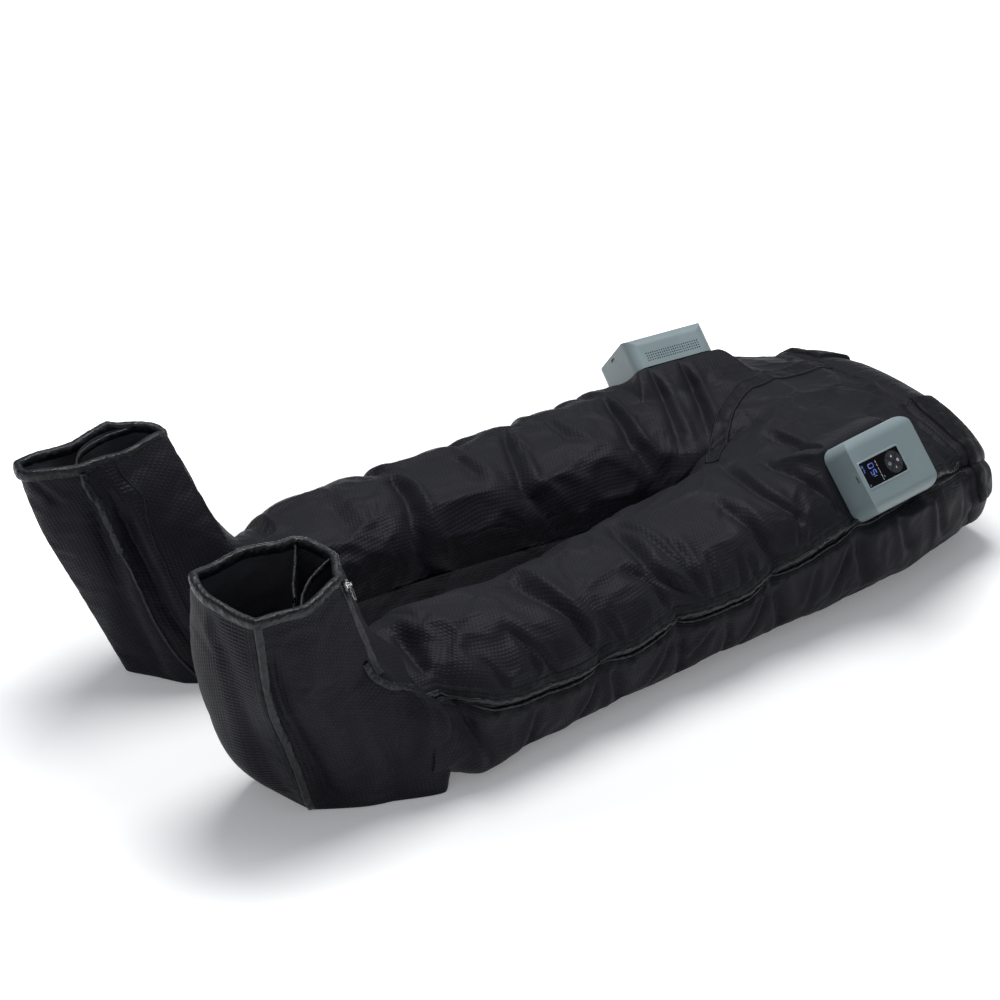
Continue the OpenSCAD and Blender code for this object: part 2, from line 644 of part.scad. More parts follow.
// Casing body, drawn in on every face by d: an outline from above met by a loaf-shaped profile
module casing_body(d) {
    r = unit_r - d;
    roll = unit_roll_r - d;
    half_w = unit_w / 2 - d;
    top = unit_h - d;
    intersection() {
        translate([0, 0, d]) linear_extrude(unit_h - 2 * d) rounded(unit_l - 2 * d, unit_w - 2 * d, r);
        rotate([90, 0, 90]) translate([0, 0, -unit_l / 2]) linear_extrude(unit_l) {
            translate([-half_w, d]) square([2 * half_w, top - roll - d]);
            translate([-half_w + roll, d]) square([2 * (half_w - roll), top - d]);
            for (side = [-1, 1]) translate([side * (half_w - roll), top - roll]) circle(roll);
        }
    }
}
// Places of the four case screws, in bosses that stand against the casing's corners
boss_wall = 2;
boss_d = screw_d + 2 * boss_wall;
boss_sink = 0.8;
screw_out = (unit_r - unit_wall - boss_d / 2 + boss_sink) / sqrt(2);
screw_x = unit_l / 2 - unit_r + screw_out;
screw_y = unit_w / 2 - unit_r + screw_out;
screw_rim = 1.3;
screw_head_d = screw_d + 2 * screw_rim;
screw_head_h = 2;
module at_screws() {
    for (x = [-screw_x, screw_x], y = [-screw_y, screw_y]) translate([x, y, 0]) children();
}
// The board hangs under two ribs of the top shell
board_l = unit_l - 2.5 * unit_r;
board_w = unit_w - 2.4 * unit_r;
board_t = 1.6;
board_rise = 7.4;
board_z = parting_z + board_rise;
rib_t = 2;
port_z = board_z + board_t + port_h / 2;
// Middle of the round group of buttons, and of the window, along the unit
button_x_share = 0.02;
button_x = button_x_share * unit_l;
lens_x_share = -0.145;
lens_x = lens_x_share * unit_l;
lens_floor = unit_h - lens_t;
ledge = 1.2;
module casing_top() {
    color(casing_colour) difference() {
        union() {
            difference() {
                casing_body(0);
                casing_body(unit_wall);
            }
            intersection() {
                casing_body(unit_wall / 2);
                union() {
                    at_screws() translate([0, 0, parting_z]) cylinder(d = boss_d, h = unit_h - parting_z);
                    for (side = [0, 1]) mirror([side, 0, 0])
                        translate([board_l / 2 - 2 * rib_t, -board_w / 2, board_z + board_t])
                            cube([rib_t, board_w, unit_h - board_z - board_t]);
                    translate([lens_x, 0, lens_floor - unit_wall]) linear_extrude(unit_wall)
                        rounded(lens_l + 4 * ledge, lens_w + 4 * ledge, 2 * ledge);
                }
            }
        }
        translate([-unit_l, -unit_w, -over]) cube([2 * unit_l, 2 * unit_w, parting_z + over]);
        translate([lens_x, 0, lens_floor]) linear_extrude(unit_h)
            rounded(lens_l + loose_gap, lens_w + loose_gap, ledge);
        translate([lens_x, 0, parting_z]) linear_extrude(unit_h)
            rounded(lens_l - 2 * ledge, lens_w - 2 * ledge, ledge);
        at_screws() cylinder(d = screw_d + run_gap, h = unit_h - 2 * unit_wall);
        charge_slot();
    }
}
// Charging slot in the end that faces the foot
module charge_slot() {
    translate([-unit_l / 2 - over, 0, port_z]) rotate([90, 0, 90]) linear_extrude(2 * unit_wall)
        rounded(port_l, port_h, 0.45 * port_h);
}
vent_rows = 4;
vent_columns = floor((unit_l - 2 * unit_r - vent_pitch) / vent_pitch);
vent_z = 8;
module casing_base() {
    color(casing_colour) difference() {
        union() {
            difference() {
                casing_body(0);
                casing_body(unit_wall);
            }
            intersection() {
                casing_body(unit_wall / 2);
                at_screws() cylinder(d = boss_d, h = parting_z);
            }
        }
        translate([-unit_l, -unit_w, parting_z]) cube([2 * unit_l, 2 * unit_w, unit_h]);
        at_screws() translate([0, 0, -over]) cylinder(d = screw_d + run_gap, h = unit_h);
        at_screws() translate([0, 0, -over]) cylinder(d = screw_head_d + loose_gap, h = screw_head_h + over);
        translate([-port_block[0] / 2 - loose_gap, -port_block[1] / 2 - loose_gap, -over])
            cube([port_block[0] + 2 * loose_gap, port_block[1] + 2 * loose_gap, 2 * unit_wall + over]);
        for (r = [0:vent_rows - 1], c = [0:vent_columns - 1])
            translate([(c - (vent_columns - 1) / 2) * vent_pitch, -(unit_w - unit_wall) / 2, vent_z + r * vent_pitch])
                cube([vent_d, 2 * unit_wall, vent_d], center = true);
    }
}
module case_screws() {
    color(nickel) at_screws() {
        cylinder(d = screw_d, h = unit_h - 3 * unit_wall);
        difference() {
            cylinder(d = screw_head_d, h = screw_head_h);
            translate([0, 0, -over]) cylinder(d = screw_d / 2, h = screw_head_h / 2 + over);
        }
    }
}
module display_lens() {
    color("#0b0c10") difference() {
        translate([lens_x, 0, lens_floor]) linear_extrude(lens_t) rounded(lens_l, lens_w, ledge);
        translate([button_x, 0, lens_floor - over]) cylinder(r = button_r + loose_gap, h = lens_t + 2 * over);
    }
}
// Buttons: quarters of one disc, each on a stem over its switch on the board
button_rise = 0.5;
button_t = lens_t + button_rise;
switch_t = 1.2;
switch_d = 5;
stem_floor = board_z + board_t + switch_t + button_travel + loose_gap / 2;
button_stem_d = 4;
button_stem_r_share = 0.6;
module one_button(turn) {
    color("#2b2e36") translate([button_x, 0, 0]) rotate([0, 0, turn]) {
        translate([0, 0, lens_floor]) linear_extrude(button_t) intersection() {
            circle(button_r);
            translate([button_gap / sqrt(2), 0]) rotate([0, 0, -45]) square(button_r * 2);
        }
        translate([button_stem_r_share * button_r, 0, stem_floor])
            cylinder(d = button_stem_d, h = lens_floor - stem_floor + over);
    }
}
module circuit_board() {
    color("#1f5a3c") {
        translate([-board_l / 2, -board_w / 2, board_z]) cube([board_l, board_w, board_t]);
        for (turn = [0:90:270]) translate([button_x, 0, board_z + board_t]) rotate([0, 0, turn])
            translate([button_stem_r_share * button_r, 0, 0]) cylinder(d = switch_d, h = switch_t);
    }
    color(nickel) {
        front = -unit_l / 2 + unit_wall / 2;
        back = -board_l / 2 + port_l;
        translate([front, 0, port_z]) rotate([90, 0, 90]) linear_extrude(back - front)
            rounded(port_l - 2 * loose_gap, port_h - 2 * loose_gap, port_h / 3);
        translate([-board_l / 2, -port_l / 2, board_z]) cube([port_l, port_l, board_t + port_h / 2]);
    }
}
// Layout of the works on the base's floor
works_floor = unit_wall;
works_gap = 1;
battery_y = port_block[1] / 2 + works_gap + battery_w / 2;
works_y = port_block[1] / 2 + works_gap + works_w / 2;
module battery_pack() {
    color("#3c6fa8") translate([0, -battery_y, works_floor]) {
        translate([-battery_l / 2, -battery_w / 2, 0]) cube([battery_l, battery_w, battery_h - battery_w / 4]);
        for (y = [-battery_w / 4, battery_w / 4]) translate([-battery_l / 2, y, battery_h - battery_w / 4])
            rotate([0, 90, 0]) cylinder(r = battery_w / 4, h = battery_l);
    }
}
// Pump: a block with a round chamber, where a cam on the shaft drives the diaphragm
pump_x = -(pump_l + works_gap) / 2;
pump_z = works_floor + works_h / 2;
pump_wall = 3;
pump_room_d = works_w - 2 * pump_wall;
pump_room_l = 10;
pump_room_x = pump_l / 4;
cam_gap = 2;
module at_pump() {
    translate([pump_x, works_y, pump_z]) rotate([0, 90, 0]) children();
}
module pump_body() {
    color("#9aa0a3") difference() {
        translate([pump_x - pump_l / 2, works_y - works_w / 2, works_floor]) cube([pump_l, works_w, works_h]);
        at_pump() {
            translate([0, 0, pump_room_x - pump_room_l / 2]) cylinder(d = pump_room_d, h = pump_room_l);
            translate([0, 0, -pump_l / 4]) cylinder(d = pump_shaft_d + 2 * run_gap, h = 3 * pump_l / 4 + over);
        }
    }
}
module pump_rotor() {
    color(nickel) at_pump() {
        translate([0, 0, -pump_l / 4 + loose_gap]) cylinder(d = pump_shaft_d, h = 3 * pump_l / 4 - loose_gap);
        translate([0, 0, pump_room_x - pump_room_l / 2 + loose_gap])
            cylinder(d = pump_room_d - 2 * cam_gap, h = pump_room_l - 2 * loose_gap);
    }
}
// Distributor: a round seat with a turning disc that sends the air to one hose at a time
valve_x = (valve_l + works_gap) / 2 + pump_l - valve_l;
valve_wall = 2;
valve_room_d = works_w - 2 * valve_wall;
valve_room_h = 6;
disc_gap = 1;
valve_room_z = works_floor + works_h / 2;
module at_valve() {
    translate([valve_x, works_y, 0]) children();
}
module distributor_body() {
    color("#d9dbd6") difference() {
        translate([valve_x - valve_l / 2, works_y - works_w / 2, works_floor]) cube([valve_l, works_w, works_h]);
        at_valve() {
            translate([0, 0, valve_room_z]) cylinder(d = valve_room_d, h = valve_room_h);
            translate([0, 0, works_floor + works_h / 4]) cylinder(d = valve_shaft_d + 2 * run_gap, h = works_h);
        }
    }
}
module distributor_rotor() {
    color(nickel) at_valve() {
        translate([0, 0, works_floor + works_h / 4 + loose_gap])
            cylinder(d = valve_shaft_d, h = 3 * works_h / 4);
        translate([0, 0, valve_room_z + loose_gap])
            cylinder(d = valve_room_d - 2 * disc_gap, h = valve_room_h - 2 * loose_gap);
    }
}

module leg_piece(left, k) {
    on_side(left) leg_chamber(k, spread_of(left));
}
module hip_piece(left, k) {
    on_side(left) hip_chamber(k, dock_of(left));
}
module unit_piece(left) {
    on_side(left) at_dock(dock_of(left)) children();
}
module boot_piece(left) {
    on_side(left) boot(sections_of(left), spread_of(left));
}
function sections_of(left) = left ? left_boot_share : right_boot_share;
function spread_of(left) = left ? left_spread : right_spread;
function dock_of(left) = left ? left_dock_share : right_dock_share;

for (left = [true, false]) {
    side = left ? "left_" : "right_";
    boot_piece(left);
    leg_piece(left, 4);
    leg_piece(left, 3);
    leg_piece(left, 2);
    leg_piece(left, 1);
    leg_piece(left, 0);
    hip_piece(left, 0);
    hip_piece(left, 1);
    on_side(left) toe_binding(sections_of(left));
    on_side(left) zip(sections_of(left), spread_of(left), dock_of(left));
    on_side(left) at_slider(sections_of(left)) zip_slider();
    on_side(left) at_slider(sections_of(left)) zip_pull();
    on_side(left) air_hoses(spread_of(left), dock_of(left));
    unit_piece(left) dock_plate();
    unit_piece(left) casing_top();
    unit_piece(left) casing_base();
    unit_piece(left) display_lens();
    unit_piece(left) one_button(180);
    unit_piece(left) one_button(0);
    unit_piece(left) one_button(90);
    unit_piece(left) one_button(270);
    unit_piece(left) circuit_board();
    unit_piece(left) battery_pack();
    unit_piece(left) pump_body();
    unit_piece(left) pump_rotor();
    unit_piece(left) distributor_body();
    unit_piece(left) distributor_rotor();
    unit_piece(left) case_screws();
}
waistband();
waist_belt();
front_placket();
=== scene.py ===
from math import cos, radians, sin

import bpy
import numpy as np
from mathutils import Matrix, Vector


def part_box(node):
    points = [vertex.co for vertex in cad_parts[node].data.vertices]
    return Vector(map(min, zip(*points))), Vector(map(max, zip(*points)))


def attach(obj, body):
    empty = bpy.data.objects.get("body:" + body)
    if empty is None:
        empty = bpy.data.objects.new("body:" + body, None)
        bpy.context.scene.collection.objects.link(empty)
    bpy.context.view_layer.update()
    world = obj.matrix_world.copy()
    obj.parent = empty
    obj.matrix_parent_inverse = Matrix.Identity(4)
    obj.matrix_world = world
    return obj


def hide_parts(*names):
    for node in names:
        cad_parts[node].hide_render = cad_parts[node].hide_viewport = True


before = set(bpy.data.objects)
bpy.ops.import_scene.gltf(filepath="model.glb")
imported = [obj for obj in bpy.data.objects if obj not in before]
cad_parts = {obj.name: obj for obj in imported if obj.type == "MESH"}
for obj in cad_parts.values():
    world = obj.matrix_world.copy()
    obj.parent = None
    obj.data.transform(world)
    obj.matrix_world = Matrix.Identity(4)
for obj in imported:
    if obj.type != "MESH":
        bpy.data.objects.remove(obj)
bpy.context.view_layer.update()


# The studio: a pale floor that runs out to white under painted light, a broad lamp overhead from
# behind, a softer one from the feet, and a camera at the photograph's viewpoint.
scene = bpy.context.scene
scene.view_settings.view_transform = "Standard"

view_azimuth = radians(-38)
view_height = radians(30)
view_distance = 5.0
view_target = Vector((0.0236, 0.0512, 0.0))
target_pixel = (530, 590)
pixels_per_metre = 785
frame_pixels = 1000
sensor_width = 36

view_back = Vector(
    (
        sin(view_azimuth) * cos(view_height),
        -cos(view_azimuth) * cos(view_height),
        sin(view_height),
    )
)
camera_data = bpy.data.cameras.new("camera")
camera = bpy.data.objects.new("camera", camera_data)
scene.collection.objects.link(camera)
camera.location = view_target + view_back * view_distance
camera.rotation_euler = (-view_back).to_track_quat("-Z", "Y").to_euler()
camera_data.sensor_width = sensor_width
camera_data.lens = pixels_per_metre * view_distance * sensor_width / frame_pixels
camera_data.shift_x = 0.5 - target_pixel[0] / frame_pixels
camera_data.shift_y = target_pixel[1] / frame_pixels - 0.5
camera_data.clip_end = 60
scene.camera = camera


class Shade:
    """A node's output in one material, with Python's operators for maths on it."""

    def __init__(self, tree, socket=None):
        self.tree = tree
        self.socket = socket

    def node(self, kind, settings, inputs, out=0):
        made = self.tree.nodes.new(kind)
        for name, value in settings.items():
            if name == "stops":
                for stop, (place, shade) in zip(made.color_ramp.elements, value):
                    stop.position = place
                    stop.color = (shade, shade, shade, 1)
            else:
                setattr(made, name, value)
        for name, value in inputs.items():
            if isinstance(value, Shade):
                self.tree.links.new(value.socket, made.inputs[name])
            else:
                made.inputs[name].default_value = value
        return Shade(self.tree, made.outputs[out])

    def maths(self, operation, *values):
        return self.node("ShaderNodeMath", {"operation": operation}, dict(enumerate(values)))

    def __add__(self, other):
        return self.maths("ADD", self, other)

    def __radd__(self, other):
        return self.maths("ADD", other, self)

    def __sub__(self, other):
        return self.maths("SUBTRACT", self, other)

    def __rsub__(self, other):
        return self.maths("SUBTRACT", other, self)

    def __mul__(self, other):
        return self.maths("MULTIPLY", self, other)

    def __rmul__(self, other):
        return self.maths("MULTIPLY", other, self)

    def __truediv__(self, other):
        return self.maths("DIVIDE", self, other)

    def __abs__(self):
        return self.maths("ABSOLUTE", self)

    def floor(self):
        return self.maths("FLOOR", self)

    def part(self):
        return self.maths("FRACT", self)

    def above_zero(self):
        return self.maths("MAXIMUM", self, 0.0)

    def step(self, low, high):
        """0 below low, 1 above high, smooth between."""
        settings = {"interpolation_type": "SMOOTHSTEP"}
        ends = {"Value": self, "From Min": low, "From Max": high}
        return self.node("ShaderNodeMapRange", settings, ends)


def tint(share, first, second):
    """Colour that goes from first to second as share goes from 0 to 1."""
    inputs = {0: share, 6: (*first, 1), 7: (*second, 1)}
    return share.node("ShaderNodeMix", {"data_type": "RGBA"}, inputs, 2)


def finish(name, colour, roughness, **constants):
    """A new material, its shader and the start of its node tree."""
    material = bpy.data.materials.new(name)
    material.use_nodes = True
    shader = material.node_tree.nodes["Principled BSDF"]
    shader.inputs["Base Color"].default_value = (*colour, 1)
    shader.inputs["Roughness"].default_value = roughness
    for socket, value in constants.items():
        shader.inputs[socket.replace("_", " ")].default_value = value
    return material, shader, Shade(material.node_tree)


def feed(shader, socket, value):
    value.tree.links.new(value.socket, shader.inputs[socket])


# The floor's glow, seen by camera and glossy rays: a little near the object, so that its shadow
# shows, and more past an oval, where painted light whitens over the shadow's faint outer reach
floor_white = 0.17
edge_painted_light = 0.6
oval_stretch = (0.9, 1.35, 1)
oval_start, oval_end = 0.56, 0.86

floor_material, floor_shader, shade = finish("floor", (0.93, 0.93, 0.93), 0.9)
camera_ray = shade.node("ShaderNodeLightPath", {}, {}, "Is Camera Ray")
glossy_ray = shade.node("ShaderNodeLightPath", {}, {}, "Is Glossy Ray")
floor_shader.inputs["Emission Strength"].default_value = 1
floor_place = shade.node("ShaderNodeTexCoord", {}, {}, "Object")
oval = shade.node("ShaderNodeMapping", {}, {"Vector": floor_place, "Scale": oval_stretch})
from_middle = shade.node("ShaderNodeVectorMath", {"operation": "LENGTH"}, {0: oval}, "Value")
# Painted light: past the oval the floor glows white over the faint outer shadow
glow_and_painted_light = floor_white + from_middle.step(oval_start, oval_end) * edge_painted_light
seen_glow_and_painted_light = (camera_ray + glossy_ray) * glow_and_painted_light
feed(floor_shader, "Emission Color", tint(seen_glow_and_painted_light, (0, 0, 0), (1, 1, 1)))

bpy.ops.mesh.primitive_plane_add(size=40, location=(0, 0, -0.0005))
floor = bpy.context.object
floor.name = "floor"
floor.data.materials.append(floor_material)

world = bpy.data.worlds.new("studio")
scene.world = world
world.use_nodes = True
sky = world.node_tree.nodes["Background"]
sky_shade = Shade(world.node_tree)
straight = sky_shade.node("ShaderNodeLightPath", {}, {}, "Is Camera Ray")
through = sky_shade.node("ShaderNodeLightPath", {}, {}, "Is Transmission Ray")
sky.inputs["Strength"].default_value = 1
feed(sky, "Color", tint(straight + through, (0.25, 0.26, 0.285), (1, 1, 1)))


def soft_lamp(name, place, size, power):
    lamp = bpy.data.lights.new(name, "AREA")
    lamp.shape = "DISK"
    lamp.size = size
    lamp.energy = power
    holder = bpy.data.objects.new(name, lamp)
    scene.collection.objects.link(holder)
    holder.location = place
    aim = Vector((0, 0, 0.1)) - Vector(place)
    holder.rotation_euler = aim.to_track_quat("-Z", "Y").to_euler()


soft_lamp("overhead", (0.4, 0.5, 2.5), 1.7, 54)
soft_lamp("from_feet", (-2.2, -1.8, 1.5), 1.6, 7)


# The padded shell of the trousers: coated ripstop cloth over air chambers, sewn from leg tubes
# and a hip part. Ring seams between the chambers draw it in, the side zip parts it into a front
# and a back, and filled chambers swell between them and pucker at the seams.
MM = 0.001
sides = ("left", "right")
leg_chambers = ("ankle", "calf", "knee", "thigh", "upper_thigh")
centre_y = sum(p.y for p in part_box("waistband")) / 2
waist_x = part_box("waistband")[1].x
crotch_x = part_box("left_upper_thigh_chamber")[1].x
ankle_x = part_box("left_ankle_chamber")[0].x

cloth_step = 4.2 * MM
columns_up = 76
columns_down = 70
outline_points = 721
# How square a section is: 2 is an ellipse. The hips go from the first value to the second
leg_power = 2.6
hip_power = (3.3, 2.3)
# How far a filled section is pressed flat on the floor
settle = 3 * MM


def ease(t):
    t = np.clip(t, 0, 1)
    return t * t * (3 - 2 * t)


def out_of(side):
    return -1 if side == "left" else 1


def leg_sections(side):
    """Middle, half width and height of the leg's filled section at the crown of each chamber."""
    rows = []
    for name in leg_chambers:
        low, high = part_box(f"{side}_{name}_chamber")
        middle = out_of(side) * ((low.y + high.y) / 2 - centre_y)
        rows.append(((low.x + high.x) / 2, middle, (high.y - low.y) / 2, high.z))
    return np.array(rows)


hip_width = (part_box("waistband")[1].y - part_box("waistband")[0].y) / 2
hip_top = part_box("left_lower_hip_chamber")[1].z
hip_length = waist_x - crotch_x
# Hip sections: share of the hip's length, share of its half width and of its height
hip_share = np.array(
    [
        (0, 1.03, 0.985), (0.25, 1.065, 1), (0.5, 1.05, 0.985),
        (0.75, 0.985, 0.93), (0.9, 0.885, 0.87), (1, 0.775, 0.8),
    ]
)


def lying_outline(half, middle, high, power, start, end):
    """Outline of a filled section that lies on the floor, from one angle round to another."""
    turn = np.radians(np.linspace(start, end, outline_points))
    tall = (high + settle) / 2
    reach = (abs(np.cos(turn) / half) ** power + abs(np.sin(turn) / tall) ** power) ** (-1 / power)
    return np.stack([middle + reach * np.cos(turn), tall - settle + reach * np.sin(turn)], 1)


def length_along(line):
    """Distance from the start of a line to each of its points."""
    return np.concatenate([[0], np.cumsum(np.linalg.norm(np.diff(line, axis=0), axis=1))])


def unit_long(vectors):
    """The vectors made one long."""
    length = np.linalg.norm(vectors, axis=-1, keepdims=True)
    return vectors / np.maximum(length, 1e-9)


def laid_out(outline, zip_z):
    """The outline as evenly spaced columns, with the zip's column at its own height."""
    path = length_along(outline)
    crown = outline[:, 1].argmax()
    at_zip = path[crown + np.nonzero(outline[crown:, 1] < zip_z)[0][0]]
    stops = np.concatenate(
        [
            np.linspace(0, at_zip, columns_up + 1),
            np.linspace(at_zip, path[-1], columns_down + 1)[1:],
        ]
    )
    points = np.stack([np.interp(stops, path, outline[:, k]) for k in (0, 1)], 1)
    return points, stops - at_zip


# Height of the zip along each side, from ankle to waist
zip_places = {
    "left": [
        (-339, 137), (-309, 114), (-280, 101), (-246, 95), (-168, 90), (-122, 90), (-105, 97),
        (-67, 93), (-30, 99), (2, 104), (45, 99), (77, 98), (120, 99), (158, 110), (230, 119),
        (297, 131), (356, 137), (415, 143), (511, 130), (578, 104),
    ],
    "right": [
        (-339, 134), (-309, 116), (-250, 98), (-190, 94), (-123, 100), (-60, 92), (0, 101),
        (60, 94), (120, 97), (166, 108), (240, 112), (300, 126), (367, 133), (430, 136),
        (511, 126), (578, 104),
    ],
}


def zip_height(side, x):
    places = np.array(zip_places[side]) * MM
    return np.interp(x, places[:, 0], places[:, 1])


# Angle at which a leg's cloth starts and ends, on its inner side, down the leg and at the crotch
inseam_start = 180
crotch_start = 148
# Length over which the legs draw together before the crotch, the width of cloth that follows, and
# the length over which the two legs' sections turn into the hips'
crotch_approach = 90 * MM
crotch_pull = 40 * MM
crotch_rise = 130 * MM


def shell_row(side, x):
    """Columns of the shell at x, as places out and up, and their places round the cloth."""
    legs = leg_sections(side)
    middle, half, high = (np.interp(x, legs[:, 0], legs[:, k]) for k in (1, 2, 3))
    near = ease((x - crotch_x + crotch_approach) / crotch_approach)
    start = inseam_start + (crotch_start - inseam_start) * near
    points, around = laid_out(
        lying_outline(half, middle, high, leg_power, start, start - 360), zip_height(side, x)
    )
    pull = near * np.exp(-((around - around[0]) / crotch_pull) ** 2)
    back = near * np.exp(-((around - around[-1]) / crotch_pull) ** 2)
    points[:, 0] -= pull * points[0, 0] + back * points[-1, 0]
    into_hips = ease((x - crotch_x) / crotch_rise)
    if into_hips > 0:
        share = (x - crotch_x) / hip_length
        width = hip_width * np.interp(share, hip_share[:, 0], hip_share[:, 1])
        tall = hip_top * np.interp(share, hip_share[:, 0], hip_share[:, 2])
        squareness = np.interp(share, (0.3, 0.9), hip_power)
        hips, hips_around = laid_out(
            lying_outline(width, 0, tall, squareness, 90, -90), zip_height(side, x)
        )
        points = points * (1 - into_hips) + hips * into_hips
        around = around * (1 - into_hips) + hips_around * into_hips
        points[0, 0] = points[-1, 0] = 0
    return points, around


def smooth_line(points, count, closed=False):
    """Evenly spaced points on a smooth line through the given ones."""
    points = np.array(points, float)
    if closed:
        ends = points[-1:], points[:2]
    else:
        ends = 2 * points[:1] - points[1:2], 2 * points[-1:] - points[-2:-1]
    points = np.concatenate([ends[0], points, ends[1]])
    t = np.linspace(0, 1, 16, endpoint=False)[:, None]
    line = []
    for a, b, c, d in zip(points, points[1:], points[2:], points[3:]):
        bend = 2 * a - 5 * b + 4 * c - d
        line.append(b + 0.5 * ((c - a) * t + bend * t**2 + (3 * b - a - 3 * c + d) * t**3))
    line = np.concatenate(line + [points[-2:-1]])
    path = length_along(line)
    stops = np.linspace(0, path[-1], count)
    return np.stack([np.interp(stops, path, line[:, k]) for k in range(line.shape[1])], 1)


# Where the ring seams pinch the cloth: place, depth at the zip, depth over the top
pinches = {
    "left": [
        (-320, 9, 3), (-201, 3, 1), (-112, 12, 2), (2, 12, 2), (160, 11, 2),
        (249, 2, 1), (300, 10, 1), (367, 5, 1), (498, 9, 4),
    ],
    "right": [
        (-320, 8, 3), (-192, 5, 2), (-123, 10, 4), (-2, 10, 3), (94, 8, 2), (166, 10, 3),
        (239, 3, 2), (300, 10, 2), (367, 6, 1), (498, 9, 4),
    ],
}


crease_points = 24


def crease(x, around, path, depth, width):
    """Depth of a fold along a path in the cloth: sharp, narrow at first, with a ridge beside."""
    path = smooth_line(path, crease_points) * MM
    run = unit_long(np.gradient(path, axis=0))
    away = np.stack(np.broadcast_arrays(x, around), -1)[..., None, :] - path
    near = np.linalg.norm(away, axis=-1).argmin(-1)
    away = np.take_along_axis(away, near[..., None, None], -2)[..., 0, :]
    t, run = near / (crease_points - 1), run[near]
    across = away[..., 1] * run[..., 0] - away[..., 0] * run[..., 1]
    across = across / (width * MM * (0.45 + 0.55 * t))
    fade = ease(4 * t) * ease(3 - 3 * t)
    valley = np.exp(-1.6 * (np.sqrt(across**2 + 0.02) - 0.14))
    return 1.5 * depth * MM * fade * (valley - 0.3 * np.exp(-(((across - 1.5) / 0.9) ** 2)))


# Folds in the cloth, each a path with its depth and width, mostly fanning out from the pinches.
# A place is along the garment and, from the zip, up and over (below 0) or down and under (above 0).
folds = {
    "left": [
        ([(-119, -12), (-135, -54), (-152, -130), (-156, -214)], 14, 16),
        ([(-215, -20), (-219, -71), (-230, -105)], 7, 10),
        ([(-186, -15), (-205, -50), (-217, -80)], 5, 7),
        ([(-345, -28), (-342, -60), (-329, -141)], 10, 14), ([(-262, -14), (-280, -70)], 4, 8),
        ([(45, -20), (-1, -72), (8, -140), (28, -213)], 12, 14),
        ([(50, -22), (33, -93), (33, -213)], 6, 9), ([(56, -16), (45, -51), (54, -134)], 7, 9),
        ([(66, -18), (79, -82)], 5, 7), ([(-5, -14), (-14, -65), (-34, -112)], 10, 13),
        ([(-84, -14), (-98, -60)], 4, 7), ([(180, -17), (159, -48), (146, -156)], 9, 15),
        ([(230, -30), (205, -111), (222, -224)], 8, 12), ([(110, -14), (118, -60)], 4, 7),
        ([(135, -14), (128, -54)], 4, 7), ([(208, -14), (226, -62)], 5, 8),
        ([(288, -14), (280, -52), (272, -96)], 9, 10),
        ([(278, -52), (259, -142), (262, -176)], 7, 10),
        ([(296, -112), (316, -150), (306, -206)], 9, 10), ([(330, -10), (346, -42)], 4, 7),
        ([(445, -12), (428, -64)], 5, 8), ([(470, -40), (455, -150)], 5, 10),
        ([(512, -20), (500, -110)], 5, 9), ([(14, 20), (20, 92)], 8, 11),
        ([(66, 20), (26, 68)], 6, 9), ([(166, 15), (190, 104)], 9, 12),
        ([(-100, 10), (-76, 84)], 9, 12), ([(-116, 12), (-152, 84)], 7, 11),
        ([(0, 14), (-34, 84)], 6, 11), ([(156, 12), (118, 88)], 7, 11),
        ([(303, 10), (318, 92)], 9, 12), ([(296, 12), (258, 88)], 7, 11),
        ([(-318, 15), (-286, 84)], 7, 11), ([(370, 10), (398, 88)], 7, 11),
        ([(440, 12), (462, 88)], 6, 10), ([(-216, 14), (-226, 80)], 6, 11),
        ([(86, 18), (96, 84)], 5, 9), ([(236, 14), (224, 80)], 5, 9),
    ],
    "right": [
        ([(-112, -95), (-127, -160), (-144, -209), (-144, -257), (-128, -310)], 18, 17),
        ([(-215, -120), (-228, -200)], 3, 22),
        ([(78, -84), (37, -155), (12, -218), (28, -253), (44, -310)], 14, 15),
        ([(214, -100), (182, -197), (180, -232), (190, -275)], 14, 11),
        ([(60, -140), (48, -170)], 4, 8),
        ([(300, -90), (255, -183), (230, -227), (210, -258)], 9, 10),
        ([(-22, -110), (-36, -200)], 4, 14),
        ([(356, -66), (314, -153), (285, -202), (258, -236)], 12, 9),
        ([(120, -110), (112, -200)], 4, 14), ([(-308, -20), (-302, -70), (-312, -130)], 8, 12),
        ([(-123, -12), (-126, -50), (-112, -108)], 10, 13),
        ([(-2, -12), (-8, -50), (14, -100)], 9, 13), ([(94, -12), (98, -50), (88, -96)], 9, 12),
        ([(166, -12), (160, -50), (170, -92)], 8, 12), ([(206, -30), (202, -110)], 5, 10),
        ([(-210, -14), (-222, -76)], 6, 9), ([(-60, -14), (-72, -64)], 4, 8),
        ([(40, -14), (52, -64)], 4, 7), ([(130, -14), (122, -60)], 4, 7),
        ([(240, -14), (262, -72)], 6, 9), ([(300, -12), (285, -66)], 7, 10),
        ([(367, -12), (392, -76)], 6, 9), ([(450, -12), (436, -70)], 5, 9),
        ([(505, -30), (490, -120)], 5, 9), ([(-120, 12), (-96, 84)], 9, 12),
        ([(-126, 12), (-160, 84)], 7, 11), ([(0, 14), (26, 90)], 8, 12),
        ([(-6, 14), (-40, 84)], 6, 11), ([(96, 14), (80, 88)], 7, 11),
        ([(168, 12), (196, 92)], 8, 12), ([(300, 12), (322, 90)], 8, 12),
        ([(296, 12), (262, 84)], 6, 11), ([(370, 10), (402, 88)], 7, 11),
        ([(-316, 15), (-288, 84)], 7, 11), ([(-196, 14), (-216, 80)], 6, 11),
        ([(446, 12), (462, 86)], 5, 10),
    ],
}


def grid_faces(numbers, flip=False):
    """Four-cornered faces between the points of a grid of point numbers."""
    corners = [numbers[:-1, :-1], numbers[:-1, 1:], numbers[1:, 1:], numbers[1:, :-1]]
    if flip:
        corners.reverse()
    return np.stack(corners, -1).reshape(-1, 4).tolist()


